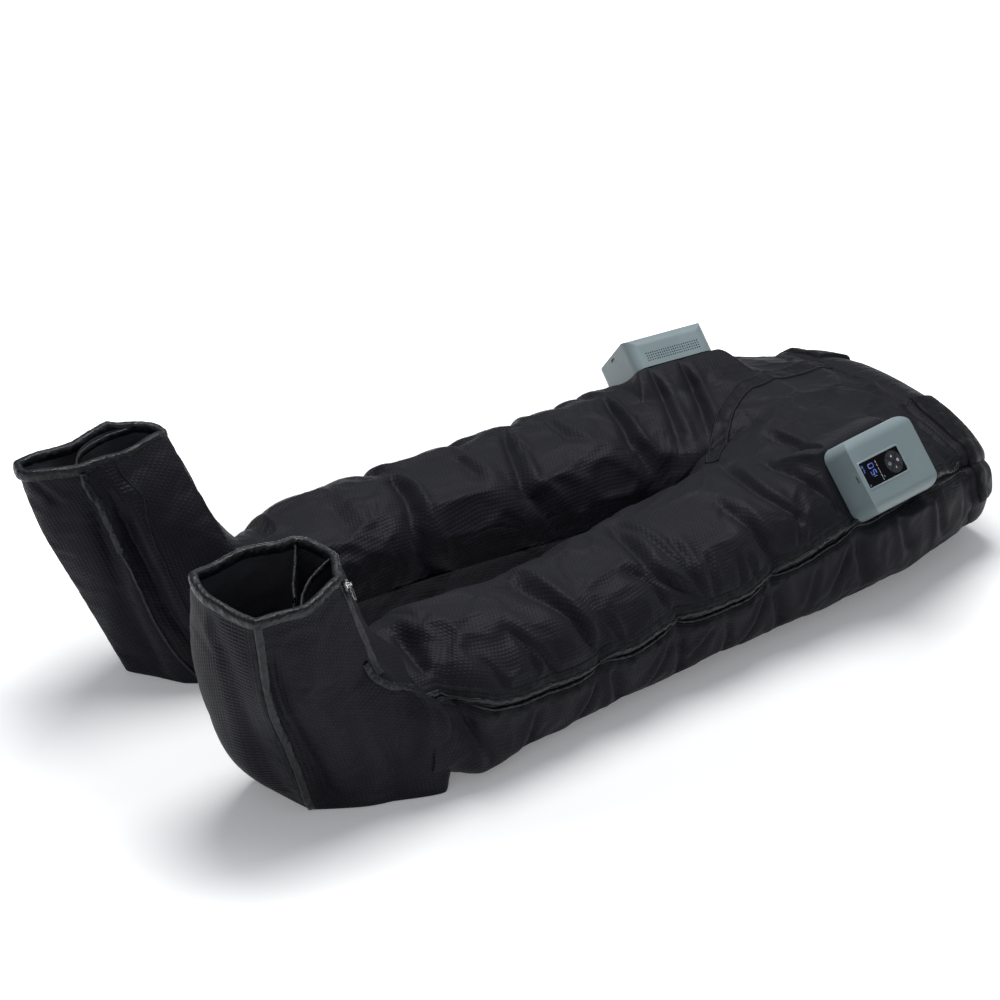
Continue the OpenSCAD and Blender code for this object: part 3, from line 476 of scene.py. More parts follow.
def mesh_piece(name, points, faces, materials, in_cloth=None):
    """A smooth mesh object; in_cloth gives each point its place in the cloth, in metres."""
    mesh = bpy.data.meshes.new(name)
    mesh.from_pydata([tuple(p) for p in points], [], faces)
    for material in materials:
        mesh.materials.append(material)
    if in_cloth is not None:
        layer = mesh.uv_layers.new(name="cloth")
        corners = np.zeros(len(mesh.loops), int)
        mesh.loops.foreach_get("vertex_index", corners)
        layer.data.foreach_set("uv", np.asarray(in_cloth, float)[corners].ravel())
    mesh.polygons.foreach_set("use_smooth", [True] * len(mesh.polygons))
    mesh.update()
    piece = bpy.data.objects.new(name, mesh)
    scene.collection.objects.link(piece)
    return piece


def smoothed(piece):
    """Subdivides a piece once, so that its folds and rims are round."""
    smoothing = piece.modifiers.new("smooth", "SUBSURF")
    smoothing.levels = smoothing.render_levels = 1


def places_of(piece):
    """Places of an object's corners."""
    return np.array([v.co for v in piece.data.vertices])


fabric_colour = (0.0096, 0.0096, 0.0132)
# The worn colour serves for rubbed wear and for the painted sheen on the weave's cells
fabric_worn_and_sheen = (0.0185, 0.0188, 0.025)
weave_pitch = 4.8 * MM
# Half the length and width of a raised cell, as shares of the pitch
cell_length, cell_width = 0.44, 0.4
creasing_depth = 1.6 * MM
rib_depth = 1.7 * MM


def cloth_places(shade):
    """The place in the cloth at a point: whole, along the piece and across it."""
    places = shade.node("ShaderNodeUVMap", {"uv_map": "cloth"}, {})
    split = {"Vector": places}
    along = shade.node("ShaderNodeSeparateXYZ", {}, split, "X")
    across = shade.node("ShaderNodeSeparateXYZ", {}, split, "Y")
    return places, along, across


def uneven(places, scale, detail):
    """Soft noise over a surface."""
    inputs = {"Vector": places, "Scale": scale, "Detail": detail}
    return places.node("ShaderNodeTexNoise", {}, inputs)


def raise_up(shader, height):
    """Gives a shader a fine relief of the given height, in metres."""
    bump = height.node("ShaderNodeBump", {}, {"Height": height, "Distance": 1.0})
    feed(shader, "Normal", bump)


def woven_finish(name, colour, worn_and_sheen, grid_depth, smooth_past, ribbed=None):
    """Coated ripstop: rows of small raised cells with a painted sheen, creases, rubbed patches and
    a ribbed strip.

    The cells are fainter past a place along the piece. The strip has its two edges across it.
    """
    material, shader, shade = finish(
        name, colour, 0.6, Specular_IOR_Level=0.13, Sheen_Weight=0.02, Sheen_Roughness=0.5
    )
    places, along, around = cloth_places(shade)
    rows = around / weave_pitch
    cells = along / weave_pitch + rows.floor() * 0.5
    long_enough = (cell_length - abs(cells.part() - 0.5)).above_zero()
    wide_enough = (cell_width - abs(rows.part() - 0.5)).above_zero()
    plain = along.step(smooth_past, smooth_past + 0.16)
    grid = long_enough * wide_enough * 5 * (1 - plain * 0.5)
    creasing = uneven(places, 26.0, 4.0)
    rubbing = uneven(places, 9.0, 3.0).step(0.42, 0.72)
    # Painted sheen: the raised cells are tinted lighter in their middles; the rubbed patches are
    # wear
    feed(shader, "Base Color", tint(rubbing * 0.3 + grid * 0.42, colour, worn_and_sheen))
    feed(shader, "Roughness", 0.5 + creasing * 0.14 - grid * 0.14)
    height = grid * grid_depth + creasing * creasing_depth
    if ribbed:
        low, high = ribbed
        panel = around.step(low, low + 0.008) * (1 - around.step(high - 0.006, high))
        height = height + abs((along / weave_pitch).part() - 0.5) * panel * rib_depth
    raise_up(shader, height)
    return material


shell_cloth = woven_finish(
    "coated_ripstop", fabric_colour, fabric_worn_and_sheen, grid_depth=0.6 * MM, smooth_past=0.05
)


# How the cloth behaves as it fills
filling = {
    "quality": 5,
    "mass": 0.3,
    "tension_stiffness": 12,
    "compression_stiffness": 12,
    "shear_stiffness": 4,
    "bending_stiffness": 0.4,
    "tension_damping": 8,
    "compression_damping": 8,
    "shear_damping": 8,
    "air_damping": 2,
    "pin_stiffness": 1,
    "use_pressure": True,
}
filling_steps = 24


def swelled(piece, sewn, pressure, growth, most):
    """Fills the piece as cloth: it grows a little between the sewn points and swells outward.

    The pressure and growth are the simulation's own measures; no point moves further than most.
    """
    rest = places_of(piece)
    group = piece.vertex_groups.new(name="sewn")
    for weight in np.unique(sewn):
        if weight > 0:
            group.add(np.nonzero(sewn == weight)[0].tolist(), float(weight), "REPLACE")
    cloth = piece.modifiers.new("filling", "CLOTH")
    settings = cloth.settings
    for name, value in filling.items():
        setattr(settings, name, value)
    settings.vertex_group_mass = group.name
    settings.uniform_pressure_force = pressure
    settings.shrink_min = -growth
    settings.effector_weights.gravity = 0
    cloth.collision_settings.use_collision = False
    cloth.collision_settings.use_self_collision = False
    cloth.point_cache.frame_end = filling_steps + 6
    for step in range(1, filling_steps + 1):
        scene.frame_set(step)
    solved = piece.evaluated_get(bpy.context.evaluated_depsgraph_get())
    moved = places_of(solved) - rest
    piece.modifiers.remove(cloth)
    scene.frame_set(1)
    size = np.linalg.norm(moved, axis=1)
    kept = most * np.tanh(size / most)
    settled = rest + moved * (kept / np.maximum(size, 1e-9))[:, None]
    settled[:, 2] = np.maximum(settled[:, 2], 0.0)
    piece.data.vertices.foreach_set("co", settled.ravel())
    piece.data.update()


def ripple(place, seed, pitch):
    """A wavy line that looks uneven, about between -1 and 1."""
    random = np.random.default_rng(seed)
    waves = [
        np.sin(place / (pitch * scale) * 2 * np.pi + random.uniform(0, 2 * np.pi))
        for scale in (0.62, 1, 1.7, 3.1)
    ]
    return sum(waves) / 2.2


def unit_axes(side):
    """A control unit's directions, to the feet, to the wearer's right and out, and its window."""
    window = places_of(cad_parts[f"{side}_display_lens"])
    spread = np.linalg.svd(window - window.mean(0), full_matrices=False)[2]
    out = spread[2] * np.sign(spread[2][2])
    feet = -spread[0] * np.sign(spread[0][0])
    directions = np.array([feet, np.cross(feet, out), out])
    return directions, window @ directions.T


# The seat under a unit: how far past the unit it runs out, how deep the cloth may lie to be
# brought up to it, and the room left below the casing
seat_edge = 26 * MM
seat_depth = 50 * MM
seat_room = 1.5 * MM


def seat(points, side):
    """Brings the cloth up under the control unit, and returns how firmly it is held there."""
    directions, _ = unit_axes(side)
    base = places_of(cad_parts[f"{side}_casing_base"]) @ directions.T
    low, high = base.min(0), base.max(0)
    spots = points @ directions.T
    off = np.maximum(low - spots, spots - high)[:, :, :2].max(2)
    held = 1 - ease(off / seat_edge)
    within = np.where(spots[:, :, 2] > low[2] - seat_depth, held, 0)
    raised = within * (low[2] - seat_room - spots[:, :, 2])
    points += raised[:, :, None] * directions[2]
    return np.where(abs(raised) > 0, held, 0)


ankle_overlap = 46 * MM
shell_x = np.arange(ankle_x - ankle_overlap, waist_x + cloth_step / 2, cloth_step)
shell_columns = columns_up + columns_down + 1
groove_depth = 9 * MM
groove_width = 6 * MM
fold_limit = 15 * MM
# Half the length over which a pinch closes the zip's lips
lips_shut = 14 * MM
# How far over the top a seam has drawn in as deep as it goes
top_reach = 150 * MM
pinch_width = 17 * MM
pinch_wander = 9 * MM
# Width of the cloth beside the zip that the zip's seams draw in
beside_zip = 55 * MM
# How far the chambers stand out between the folds
fullness = 3 * MM
# How far each leg tucks in where the boot's wall covers its start, up to where, and over what
# length. Then places where a chamber is fuller: place, from and to round the cloth, rise
ankle_tuck = {"left": (16, -338, 46), "right": (26, -345, 120)}
fuller = {
    "left": [(-242, -300, -70, 8), (-312, -320, -90, 12), (-300, 30, 130, 10)],
    "right": [(-60, -300, -120, 3)],
}
fuller_edge = 40 * MM
fuller_length = 52 * MM
# Lengths at the ankle and at the waist that are sewn down, and the half width sewn at the zip
ankle_sewn = 30 * MM
waist_sewn = 10 * MM
zip_sewn = 3 * MM


def zip_opening(side, x):
    """How far the zip's lips stand apart at x: closed at each deep pinch, open between."""
    deep = [place for place, at_zip, _ in pinches[side] if at_zip > 8]
    closed = sum(np.exp(-(((x - place * MM) / lips_shut) ** 2)) for place in deep)
    return np.clip(1 - closed, 0, 1)


def shell_side(side):
    """Places, places in the cloth and sewn weights of one side's cloth, row by row."""
    rows = [shell_row(side, x) for x in shell_x]
    row, around = (np.array(part) for part in zip(*rows))
    x = shell_x[:, None]
    tangent = np.gradient(row, axis=1)
    normal = unit_long(np.stack([-tangent[:, :, 1], tangent[:, :, 0]], 2))
    by_zip = np.exp(-((around / beside_zip) ** 2))
    over_top = np.clip(-around / top_reach, 0.25, 1)
    folded = sum(crease(x, around, *fold) for fold in folds[side])
    inward = fold_limit * np.tanh(folded / fold_limit) - fullness
    ring = 0
    for place, at_zip, on_top in pinches[side]:
        wander = pinch_wander * ripple(around, place + 400, 0.16)
        near = np.exp(-abs(x - place * MM - wander) / pinch_width)
        inward = inward + MM * (at_zip * by_zip + on_top * over_top * (1 - 0.6 * by_zip)) * near
        ring = np.maximum(ring, near)
    depth, start, reach = ankle_tuck[side]
    beside = 0.3 + 0.7 * np.exp(-(((around - 10 * MM) / (85 * MM)) ** 2))
    inward = inward + depth * MM * beside * (1 - ease((x - start * MM) / (reach * MM)))
    for place, low, high, rise in fuller[side]:
        spot = ease((around - low * MM) / fuller_edge) * ease((high * MM - around) / fuller_edge)
        inward = inward - rise * MM * spot * np.exp(-(((x - place * MM) / fuller_length) ** 2))
    gape = 0.4 + 0.6 * zip_opening(side, x)
    inward = inward + np.exp(-((around / groove_width) ** 2)) * groove_depth * gape
    row = row - normal * inward[:, :, None]
    over_hips = shell_x >= crotch_x
    row[over_hips, 0, 0] = row[over_hips, -1, 0] = 0
    y = centre_y + out_of(side) * row[:, :, 0]
    points = np.stack([x + 0 * y, y, np.maximum(row[:, :, 1], 0)], 2)
    sewn = (abs(around) < zip_sewn) + (ring > 0.86) * (by_zip > 0.4) + (ring > 0.93) * 0.6
    seated = seat(points, side)
    sewn = np.maximum(sewn, seated)
    sewn[:, [0, -1]] = np.maximum(sewn[:, [0, -1]], 0.7)
    sewn[(shell_x < ankle_x - ankle_sewn) | (shell_x > waist_x - waist_sewn)] = 1
    cloth = np.stack([x + 0 * y, around], 2)
    return points.reshape(-1, 3), cloth.reshape(-1, 2), np.round(np.clip(sewn, 0, 1), 1).ravel()


shell_parts = [np.concatenate(part) for part in zip(*(shell_side(side) for side in sides))]
numbers = np.arange(2 * len(shell_x) * shell_columns).reshape(2, len(shell_x), shell_columns)
over_hips = shell_x >= crotch_x
for edge in (0, -1):
    numbers[1, over_hips, edge] = numbers[0, over_hips, edge]
kept_points, numbers = np.unique(numbers, return_inverse=True)
numbers = numbers.reshape(2, len(shell_x), shell_columns)
shell_points, shell_places, shell_sewn = (part[kept_points] for part in shell_parts)
shell_faces = grid_faces(numbers[0], True) + grid_faces(numbers[1], False)
shell = mesh_piece("trouser_shell", shell_points, shell_faces, [shell_cloth], shell_places)
swelled(shell, shell_sewn, pressure=2.5, growth=0.016, most=6 * MM)
smoothed(shell)
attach(shell, "garment")
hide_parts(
    *[f"{side}_{name}_chamber" for side in sides for name in leg_chambers],
    *[f"{side}_{name}_hip_chamber" for side in sides for name in ("lower", "upper")],
    "waistband",
)

shell_grids = {}
solved_shell = places_of(shell)
for side, grid in zip(sides, numbers):
    shell_grids[side] = solved_shell[grid], shell_places[grid][:, :, 1]


# The boots: soft ankle boots sewn from four panels, pressed flat towards the toes and left open
# at the top. Each leans from its sole, which stands on edge, up to its toe opening; seams run
# down the corners and the leg's padded tube is sewn into the back.
boot_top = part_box("left_boot")[1].z
# Lines down a boot from the inner corner of the sole round to the inner side: height, x, y
boot_lines = {
    "left": [
        [(0, -505, -100), (60, -538, -98), (120, -562, -96), (200, -580, -95), (304, -582, -103)],
        [
            (0, -500, -150), (60, -552, -150), (120, -574, -148),
            (200, -592, -150), (304, -599, -160),
        ],
        [
            (0, -491, -195), (50, -509, -206), (120, -537, -218),
            (190, -567, -234), (304, -583, -233),
        ],
        [
            (0, -440, -228), (60, -462, -240), (120, -485, -250),
            (200, -508, -250), (304, -520, -240),
        ],
        [
            (0, -405, -240), (60, -408, -251), (100, -407, -255), (150, -411, -247),
            (190, -419, -230), (225, -429, -224), (260, -439, -218), (304, -452, -212),
        ],
        [
            (0, -345, -262), (60, -345, -270), (110, -350, -268), (150, -385, -240),
            (190, -414, -222), (225, -425, -214), (260, -434, -207), (304, -444, -198),
        ],
        [
            (0, -300, -185), (60, -300, -185), (120, -320, -182),
            (200, -385, -170), (304, -424, -161),
        ],
        [(0, -350, -95), (60, -352, -88), (120, -362, -90), (200, -395, -105), (304, -430, -112)],
        [(0, -430, -85), (60, -440, -72), (120, -455, -68), (200, -475, -70), (304, -505, -88)],
    ],
    "right": [
        [(0, -450, 130), (60, -472, 140), (120, -490, 150), (200, -513, 168), (304, -542, 186)],
        [(0, -470, 165), (60, -503, 182), (120, -528, 196), (200, -558, 205), (304, -600, 216)],
        [(0, -490, 200), (50, -510, 208), (110, -533, 221), (220, -580, 230), (304, -594, 252)],
        [(0, -430, 236), (60, -447, 250), (120, -466, 258), (200, -490, 260), (304, -512, 256)],
        [
            (0, -380, 245), (60, -392, 258), (120, -400, 260), (150, -410, 258),
            (190, -422, 257), (225, -433, 261), (260, -443, 265), (304, -456, 270),
        ],
        [
            (0, -345, 262), (60, -345, 272), (110, -352, 272), (150, -390, 264),
            (190, -414, 257), (225, -426, 256), (260, -436, 257), (304, -447, 260),
        ],
        [(0, -300, 160), (60, -300, 160), (120, -320, 165), (200, -382, 190), (304, -412, 232)],
        [(0, -345, 75), (60, -350, 78), (120, -364, 92), (200, -396, 122), (304, -413, 206)],
        [(0, -400, 95), (60, -420, 98), (120, -436, 108), (200, -462, 138), (304, -487, 190)],
    ],
}
# How widely the panel bends at each line: low is a sharp corner
line_roundness = [0.35, 1, 0.3, 1, 0.25, 0.4, 1, 0.6, 1]
columns_between = [10, 9, 14, 14, 8, 22, 16, 20, 18]
boot_rows = 62
# The lines that the outer sole seam and the zip follow, and the height that the lines are given for
seam_line, chain_line = 2, 4
drawn_height = 304 * MM


def boot_grid(side):
    """Points of a boot's wall: rows from the sole up, columns round from its inner corner."""
    lines = []
    for line in boot_lines[side]:
        points = np.array([(x, y, z * boot_top / drawn_height) for z, x, y in line]) * MM
        lines.append(smooth_line(points, boot_rows))
    lines = np.array(lines)
    columns = []
    for i, count in enumerate(columns_between):
        before, start, end, after = (lines[k % len(lines)] for k in (i - 1, i, i + 1, i + 2))
        leave = 0.5 * (end - before) * line_roundness[i]
        arrive = 0.5 * (after - start) * line_roundness[(i + 1) % len(lines)]
        for t in np.arange(count) / count:
            columns.append(
                (2 * t**3 - 3 * t**2 + 1) * start + (t**3 - 2 * t**2 + t) * leave
                + (3 * t**2 - 2 * t**3) * end + (t**3 - t**2) * arrive
            )
    return np.stack(columns, 1)


def round_the_grid(grid, column):
    """Distance round each closed row of a grid from one of its columns."""
    steps = np.linalg.norm(np.diff(grid, axis=1, append=grid[:, :1]), axis=2)
    path = np.concatenate([np.zeros((len(grid), 1)), np.cumsum(steps, 1)[:, :-1]], 1)
    away = path - path[:, column:column + 1]
    whole = steps.sum(1)[:, None]
    return (away + whole / 2) % whole - whole / 2


# Folds in a boot's wall: a path of (height, distance round from the sole's outer seam), with its
# depth and width
boot_folds = {
    "left": [
        ([(285, 9), (180, 13), (90, 17), (0, 26), (-90, 34)], 17, 19),
        ([(40, 128), (60, 134), (119, 158), (164, 172)], 6, 10),
        ([(230, 60), (120, 72), (20, 62)], 4, 22),
        ([(285, -62), (180, -46), (40, -30), (-40, -24)], 6, 16),
        ([(200, 100), (90, 112), (10, 106)], 4, 16), ([(292, -66), (262, -70), (236, -60)], 5, 8),
        ([(140, 186), (90, 178), (10, 160)], 3, 12),
    ],
    "right": [
        ([(290, -112), (200, -108), (100, -112), (0, -118), (-90, -124)], 14, 15),
        ([(280, -86), (180, -72), (95, -60), (-40, -48)], 9, 17),
        ([(300, -34), (280, -40), (252, -46)], 7, 8), ([(200, 60), (100, 72), (0, 66)], 5, 18),
        ([(230, 120), (120, 130), (20, 122)], 5, 18),
    ],
}
# Where each boot's ribbed panel starts and ends, round from the same seam, in metres
boot_ribs = {"left": (-0.074, -0.014), "right": (-0.141, -0.121)}
lining_material, lining_shader, shade = finish(
    "lining", (0.05, 0.051, 0.06), 0.6, Specular_IOR_Level=0.25, Sheen_Weight=0.06
)
threads = shade.node("ShaderNodeTexCoord", {}, {}, "Object")
lining_folds = uneven(threads, 24.0, 3.0)
feed(lining_shader, "Roughness", 0.5 + lining_folds * 0.2)
raise_up(lining_shader, uneven(threads, 420.0, 2.0) * 0.0002 + lining_folds * 0.004)

boot_wall = 7 * MM
rim_ripple = 2.5 * MM
# Height over which the folds fade out towards the sole
sole_edge = 30 * MM
# The sole's pad: rings from its middle out, as shares of the way to its edge
pad_rings = (0.25, 0.6, 0.9, 0.97)
# Lines along which a boot is sewn, with how firmly each is held as it fills
sewn_lines = ((0, 0.8), (seam_line, 1), (chain_line, 1), (7, 0.5))
boot_grids = {}
for side in sides:
    grid = boot_grid(side)
    around = round_the_grid(grid, sum(columns_between[:seam_line]))
    outward = unit_long(np.cross(np.gradient(grid, axis=1), np.gradient(grid, axis=0)))
    outward *= -out_of(side)
    folded = sum(crease(grid[:, :, 2], around, *fold) for fold in boot_folds[side])
    inward = fold_limit * np.tanh(folded / fold_limit)
    grid = grid - outward * inward[:, :, None] * ease(grid[:, :, 2:] / sole_edge)
    near_rim = ease(grid[:, :, 2] / (200 * MM) - 0.5)
    grid[:, :, 2] += rim_ripple * ripple(around, 31, 0.13) * near_rim
    grid[:, :, 2] = np.maximum(grid[:, :, 2], 0)
    columns = grid.shape[1]
    middle = grid[0].mean(0)
    pads = [middle + (grid[0] - middle) * share for share in pad_rings]
    points = np.concatenate(pads + list(grid) + [middle[None, :]])
    rings = np.arange(len(points) - 1).reshape(-1, columns)
    rings = np.concatenate([rings, rings[:, :1]], 1)
    faces = grid_faces(rings, side == "right")
    faces += [
        (len(points) - 1, b, a)[:: -out_of(side)]
        for a, b in zip(rings[0, :-1].tolist(), rings[0, 1:].tolist())
    ]
    places = np.stack([grid[:, :, 2], around], 2).reshape(-1, 2)
    places = np.concatenate([np.repeat(places[:columns], len(pads), 0), places, places[:1]])
    sewn = np.zeros(grid.shape[:2])
    for line, hold in sewn_lines:
        sewn[:, sum(columns_between[:line]) % columns] = hold
    sewn[:3] = sewn[-4:] = 1
    sewn = np.concatenate([np.ones(columns * len(pads)), sewn.ravel(), [1]])
    boot_cloth = woven_finish(
        f"{side}_boot_ripstop", fabric_colour, fabric_worn_and_sheen, 0.7 * MM, boot_top * 2, boot_ribs[side]
    )
    boot = mesh_piece(f"{side}_boot_shell", points, faces, [boot_cloth, lining_material], places)
    swelled(boot, sewn, pressure=0.8, growth=0.01, most=4 * MM)
    solved = places_of(boot)[columns * len(pads):-1].reshape(grid.shape)
    boot_grids[side] = solved, round_the_grid(solved, sum(columns_between[:chain_line]))
    lined = boot.modifiers.new("lining", "SOLIDIFY")
    lined.thickness = boot_wall
    lined.offset = -1
    lined.material_offset = 1
    smoothed(boot)
    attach(boot, "garment")
    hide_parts(f"{side}_boot")


# The toe openings' edges: binding tape folded over the rim and sewn, which ripples a little.
# Inside, sheets of lining cloth hang from taped edges and part each opening into pockets.
tape_rib = 1.1 * MM
stitch_pitch = 3.4 * MM
thread_width = 0.6 * MM
plain_thread = (0.03, 0.032, 0.036)


def tape_finish(name, colour, lines=(), thread=plain_thread, crinkled=0.0006, gloss=0.14):
    """Ribbed tape with rows of stitches at the given places across it, in metres."""
    material, shader, shade = finish(name, colour, 0.4, Specular_IOR_Level=gloss)
    places, along, across = cloth_places(shade)
    crinkle = uneven(places, 85.0, 2.0)
    height = abs((along / tape_rib).part() - 0.5) * 0.00016 + crinkle * crinkled
    if lines:
        dash = ((along / stitch_pitch).part() - 0.3).step(0.0, 0.08)
        beside = [(abs(across - line) / thread_width).step(0.5, 1.2) for line in lines]
        stitches = sum(dash * (1 - away) for away in beside)
        height = height + stitches * 0.0007
        feed(shader, "Base Color", tint(stitches, colour, thread))
    smoothest = 0.27 if gloss > 0.3 else 0.52
    feed(shader, "Roughness", smoothest + crinkle.step(0.35, 0.65) * 0.25)
    raise_up(shader, height)
    return material


def banded(name, grid, material, places=None, flip=False):
    """A smooth band of cloth or tape through a grid of points."""
    numbers = np.arange(grid.shape[0] * grid.shape[1]).reshape(grid.shape[:2])
    if places is not None:
        places = places.reshape(-1, 2)
    faces = grid_faces(numbers, flip)
    piece = mesh_piece(name, grid.reshape(-1, 3), faces, [material], places)
    smoothed(piece)
    return piece


shiny_tape = tape_finish("binding_tape", (0.0072, 0.008, 0.0098), crinkled=0.003, gloss=0.33)


def swept(name, path, outward, profile, material, closed=False, loose=0):
    """A band swept along a path: profile places are (up beside the path, out from it), in mm."""
    path = np.asarray(path)
    tangent = np.gradient(path, axis=0)
    if closed:
        tangent[0] = tangent[-1] = path[1] - path[-2]
    tangent = unit_long(tangent)
    outward = unit_long(outward - tangent * np.sum(outward * tangent, 1)[:, None])
    beside = np.cross(outward, tangent)
    length = length_along(path)
    rows = []
    for k, (up, out) in enumerate(profile):
        lift = out * MM + loose * MM * ripple(length, 7 * k + len(name), 0.011)
        rows.append(path + beside * (up * MM) + outward * lift[:, None])
    grid = np.stack(rows, 1)
    if closed:
        grid[-1] = grid[0]
    across = length_along(profile) * MM
    places = np.stack(np.broadcast_arrays(length[:, None], across[None, :]), 2)
    return banded(name, grid, material, places)


def trim(piece):
    """A piece sewn to the garment."""
    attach(piece, "garment")


folded_over = [
    (-9, 0.6), (-9.5, 1.6), (-5, 2.6), (0, 2.4), (2.8, 0.2), (3.4, -3.5), (2.8, -7),
    (0, -9), (-5, -9.4), (-9.5, -8.4), (-9, -7.4),
]
for side in sides:
    wall, _ = boot_grids[side]
    rim = smooth_line(wall[-1][:: -3 * out_of(side)], 260, closed=True)
    out = np.cross(np.gradient(rim, axis=0), (0, 0, 1))
    binding = swept(f"{side}_toe_edge", rim, out, folded_over, shiny_tape, closed=True, loose=0.6)
    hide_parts(f"{side}_toe_binding")
    trim(binding)


# Places along each pocket sheet's top edge, across the boot's opening, and where it leads down to
pocket_edges = [
    ("left", [(-427, -160), (-446, -170), (-475, -186), (-502, -209), (-524, -236)], (12, 20)),
    ("left", [(-444, -110), (-456, -128), (-478, -158), (-498, -184), (-516, -212)], (12, 20)),
    ("right", [(-541, 203), (-522, 226), (-496, 239), (-468, 246), (-436, 246)], (8, -14)),
]
thin_fold = [(-8, 0.8), (-8, 2.2), (-2, 2.6), (1.5, 0), (-2, -2.6), (-8, -2.2), (-8, -0.8)]
edge_points, sheet_rows = 40, 14
sheet_drop = 140
sheet_sway = 9 * MM
for n, (side, edge, leads) in enumerate(pocket_edges):
    top = smooth_line([(x * MM, y * MM, boot_top - 2 * MM) for x, y in edge], edge_points)
    run = np.linspace(0, 1, edge_points)[:, None]
    rows = []
    for drop in np.linspace(0, 1, sheet_rows):
        sway = sheet_sway * np.sin(drop * 2.4 + n) * np.sin(np.pi * run)
        inward = np.array([*leads, -sheet_drop]) * MM * drop
        rows.append(top + inward + np.concatenate([sway * 0.5, sway, 0 * sway], 1))
    trim(banded(f"{side}_pocket_sheet_{n + 1}", np.stack(rows), lining_material))
    out = np.cross(np.gradient(top, axis=0), (0, 0, 1))
    trim(swept(f"{side}_pocket_edge_{n + 1}", top, out, thin_fold, shiny_tape, loose=0.6))


# The boots' seams: panels joined under narrow folded tape down the corners of the sole, rows of
# stitches beside them, and on the near boot a tape that runs on from its zip into the leg's.
seam_points = 70
seam_softness = 6 * MM


def boot_seam(name, path, profile, material, loose=0):
    """A band on a boot along a path of (height, distance round from the sole's outer seam)."""
    side = name.split("_")[0]
    wall = boot_grids[side][0]
    round_it = round_the_grid(wall, sum(columns_between[:seam_line]))
    facing = unit_long(np.cross(np.gradient(wall, axis=1), np.gradient(wall, axis=0)))
    facing *= -out_of(side)
    line, outward = [], []
    for high, at in smooth_line(path, seam_points) * MM:
        away = (wall[:, :, 2] - high) ** 2 + (round_it - at) ** 2
        weight = np.exp(-(away / seam_softness**2))
        weight = weight[:, :, None] / weight.sum()
        line.append((wall * weight).sum((0, 1)))
        outward.append((facing * weight).sum((0, 1)))
    trim(swept(name, line, np.array(outward), profile, material, loose=loose))


bound = [(-5.5, -1), (-5, 1.6), (-2, 2.8), (1.5, 3.8), (4, 2.6), (5, -1)]
narrow = [(-2.6, -1), (-2.2, 1.5), (0, 2.6), (2.2, 1.5), (2.6, -1)]
stitching = [(-2.6, -0.6), (-2.2, 0.9), (2.2, 0.9), (2.6, -0.6)]
stitched_tape = tape_finish("stitched_tape", (0.009, 0.0093, 0.0115), [0.0035, 0.009])
stitch_row = tape_finish("stitch_row", (0.0085, 0.009, 0.011), [0.0038], (0.05, 0.052, 0.057))
sole_seam = [(3, 0), (100, 0), (200, 0), (299, 0)]
heel_run = [(196, 148), (176, 151), (160, 166), (149, 188), (138, 208)]
far_sole_seam = [(4, -102), (60, -97), (154, -98), (200, -94), (300, -100)]
far_sole_tape = [(190, -94), (244, -91), (300, -100)]
boot_seam("left_sole_seam", sole_seam, bound, shiny_tape, 0.7)
boot_seam("left_sole_stitching", [(10, -8), (150, -8), (296, -8)], stitching, stitch_row)
boot_seam("left_heel_tape", heel_run, bound, shiny_tape, 0.9)
boot_seam("right_sole_seam", far_sole_seam, narrow, shiny_tape, 0.5)
boot_seam("right_sole_tape", far_sole_tape, bound, shiny_tape, 0.9)
boot_seam("right_boot_stitching", [(90, -154), (198, -151), (296, -149)], stitching, stitch_row)


# The side zips: on each side, a stitched tape along the upper lip with a shiny rolled binding, a
# chain of teeth down in the gap, and a thinner rolled edge and tape along the lower lip. Where the
# ring seams pinch the cloth the lips close, and between them they gape.
def strip(name, grid, across, sign, profile, material, loose=0, fine=2):
    """A band on a surface: profile places are (distance across it, lift off it), in mm."""
    outward = sign * unit_long(np.cross(np.gradient(grid, axis=1), np.gradient(grid, axis=0)))
    steps = np.linspace(0, len(grid) - 1, fine * (len(grid) - 1) + 1)
    low = np.minimum(steps.astype(int), len(grid) - 2)
    share = (steps - low)[:, None]
    shares = share[:, :, None], share, share[:, :, None]
    grid, across, outward = (
        layer[low] * (1 - s) + layer[low + 1] * s
        for layer, s in zip((grid, across, outward), shares)
    )
    middle = [
        [np.interp(0, row, points[:, axis]) for axis in range(3)]
        for row, points in zip(across, grid)
    ]
    length = length_along(middle)
    beyond = unit_long(grid[:, -1] - grid[:, -2])
    columns = []
    for k, pair in enumerate(profile):
        distance, lift = (
            np.interp(steps, np.linspace(0, steps[-1], np.size(value)), np.atleast_1d(value)) * MM
            for value in pair
        )
        lift = lift + loose * MM * ripple(length, 5 * k + len(name), 0.012)
        held = np.clip(distance, across[:, 0], across[:, -1])
        column = np.array(
            [
                [np.interp(at, row, layer[:, axis]) for layer in layers for axis in range(3)]
                for at, row, *layers in zip(held, across, grid, outward)
            ]
        )
        past = beyond * (distance - held)[:, None]
        columns.append(column[:, :3] + column[:, 3:] * lift[:, None] + past)
    band = np.stack(columns, 1)
    widths = np.linalg.norm(np.diff(band, axis=1), axis=2)
    wide = np.concatenate([np.zeros((len(band), 1)), np.cumsum(widths, 1)], 1)
    places = np.stack([np.broadcast_to(length[:, None], wide.shape), wide], 2)
    return banded(name, band, material, places, sign > 0)


tooth_pitch = 2.1 * MM
tooth_height = 0.9 * MM
chain_material, chain_shader, shade = finish("zip_teeth", (0.01, 0.0105, 0.012), 0.35)
_, along, _ = cloth_places(shade)
teeth = abs((along / tooth_pitch).part() - 0.5).step(0.12, 0.3)
raise_up(chain_shader, teeth * tooth_height)

zip_end = 520 * MM
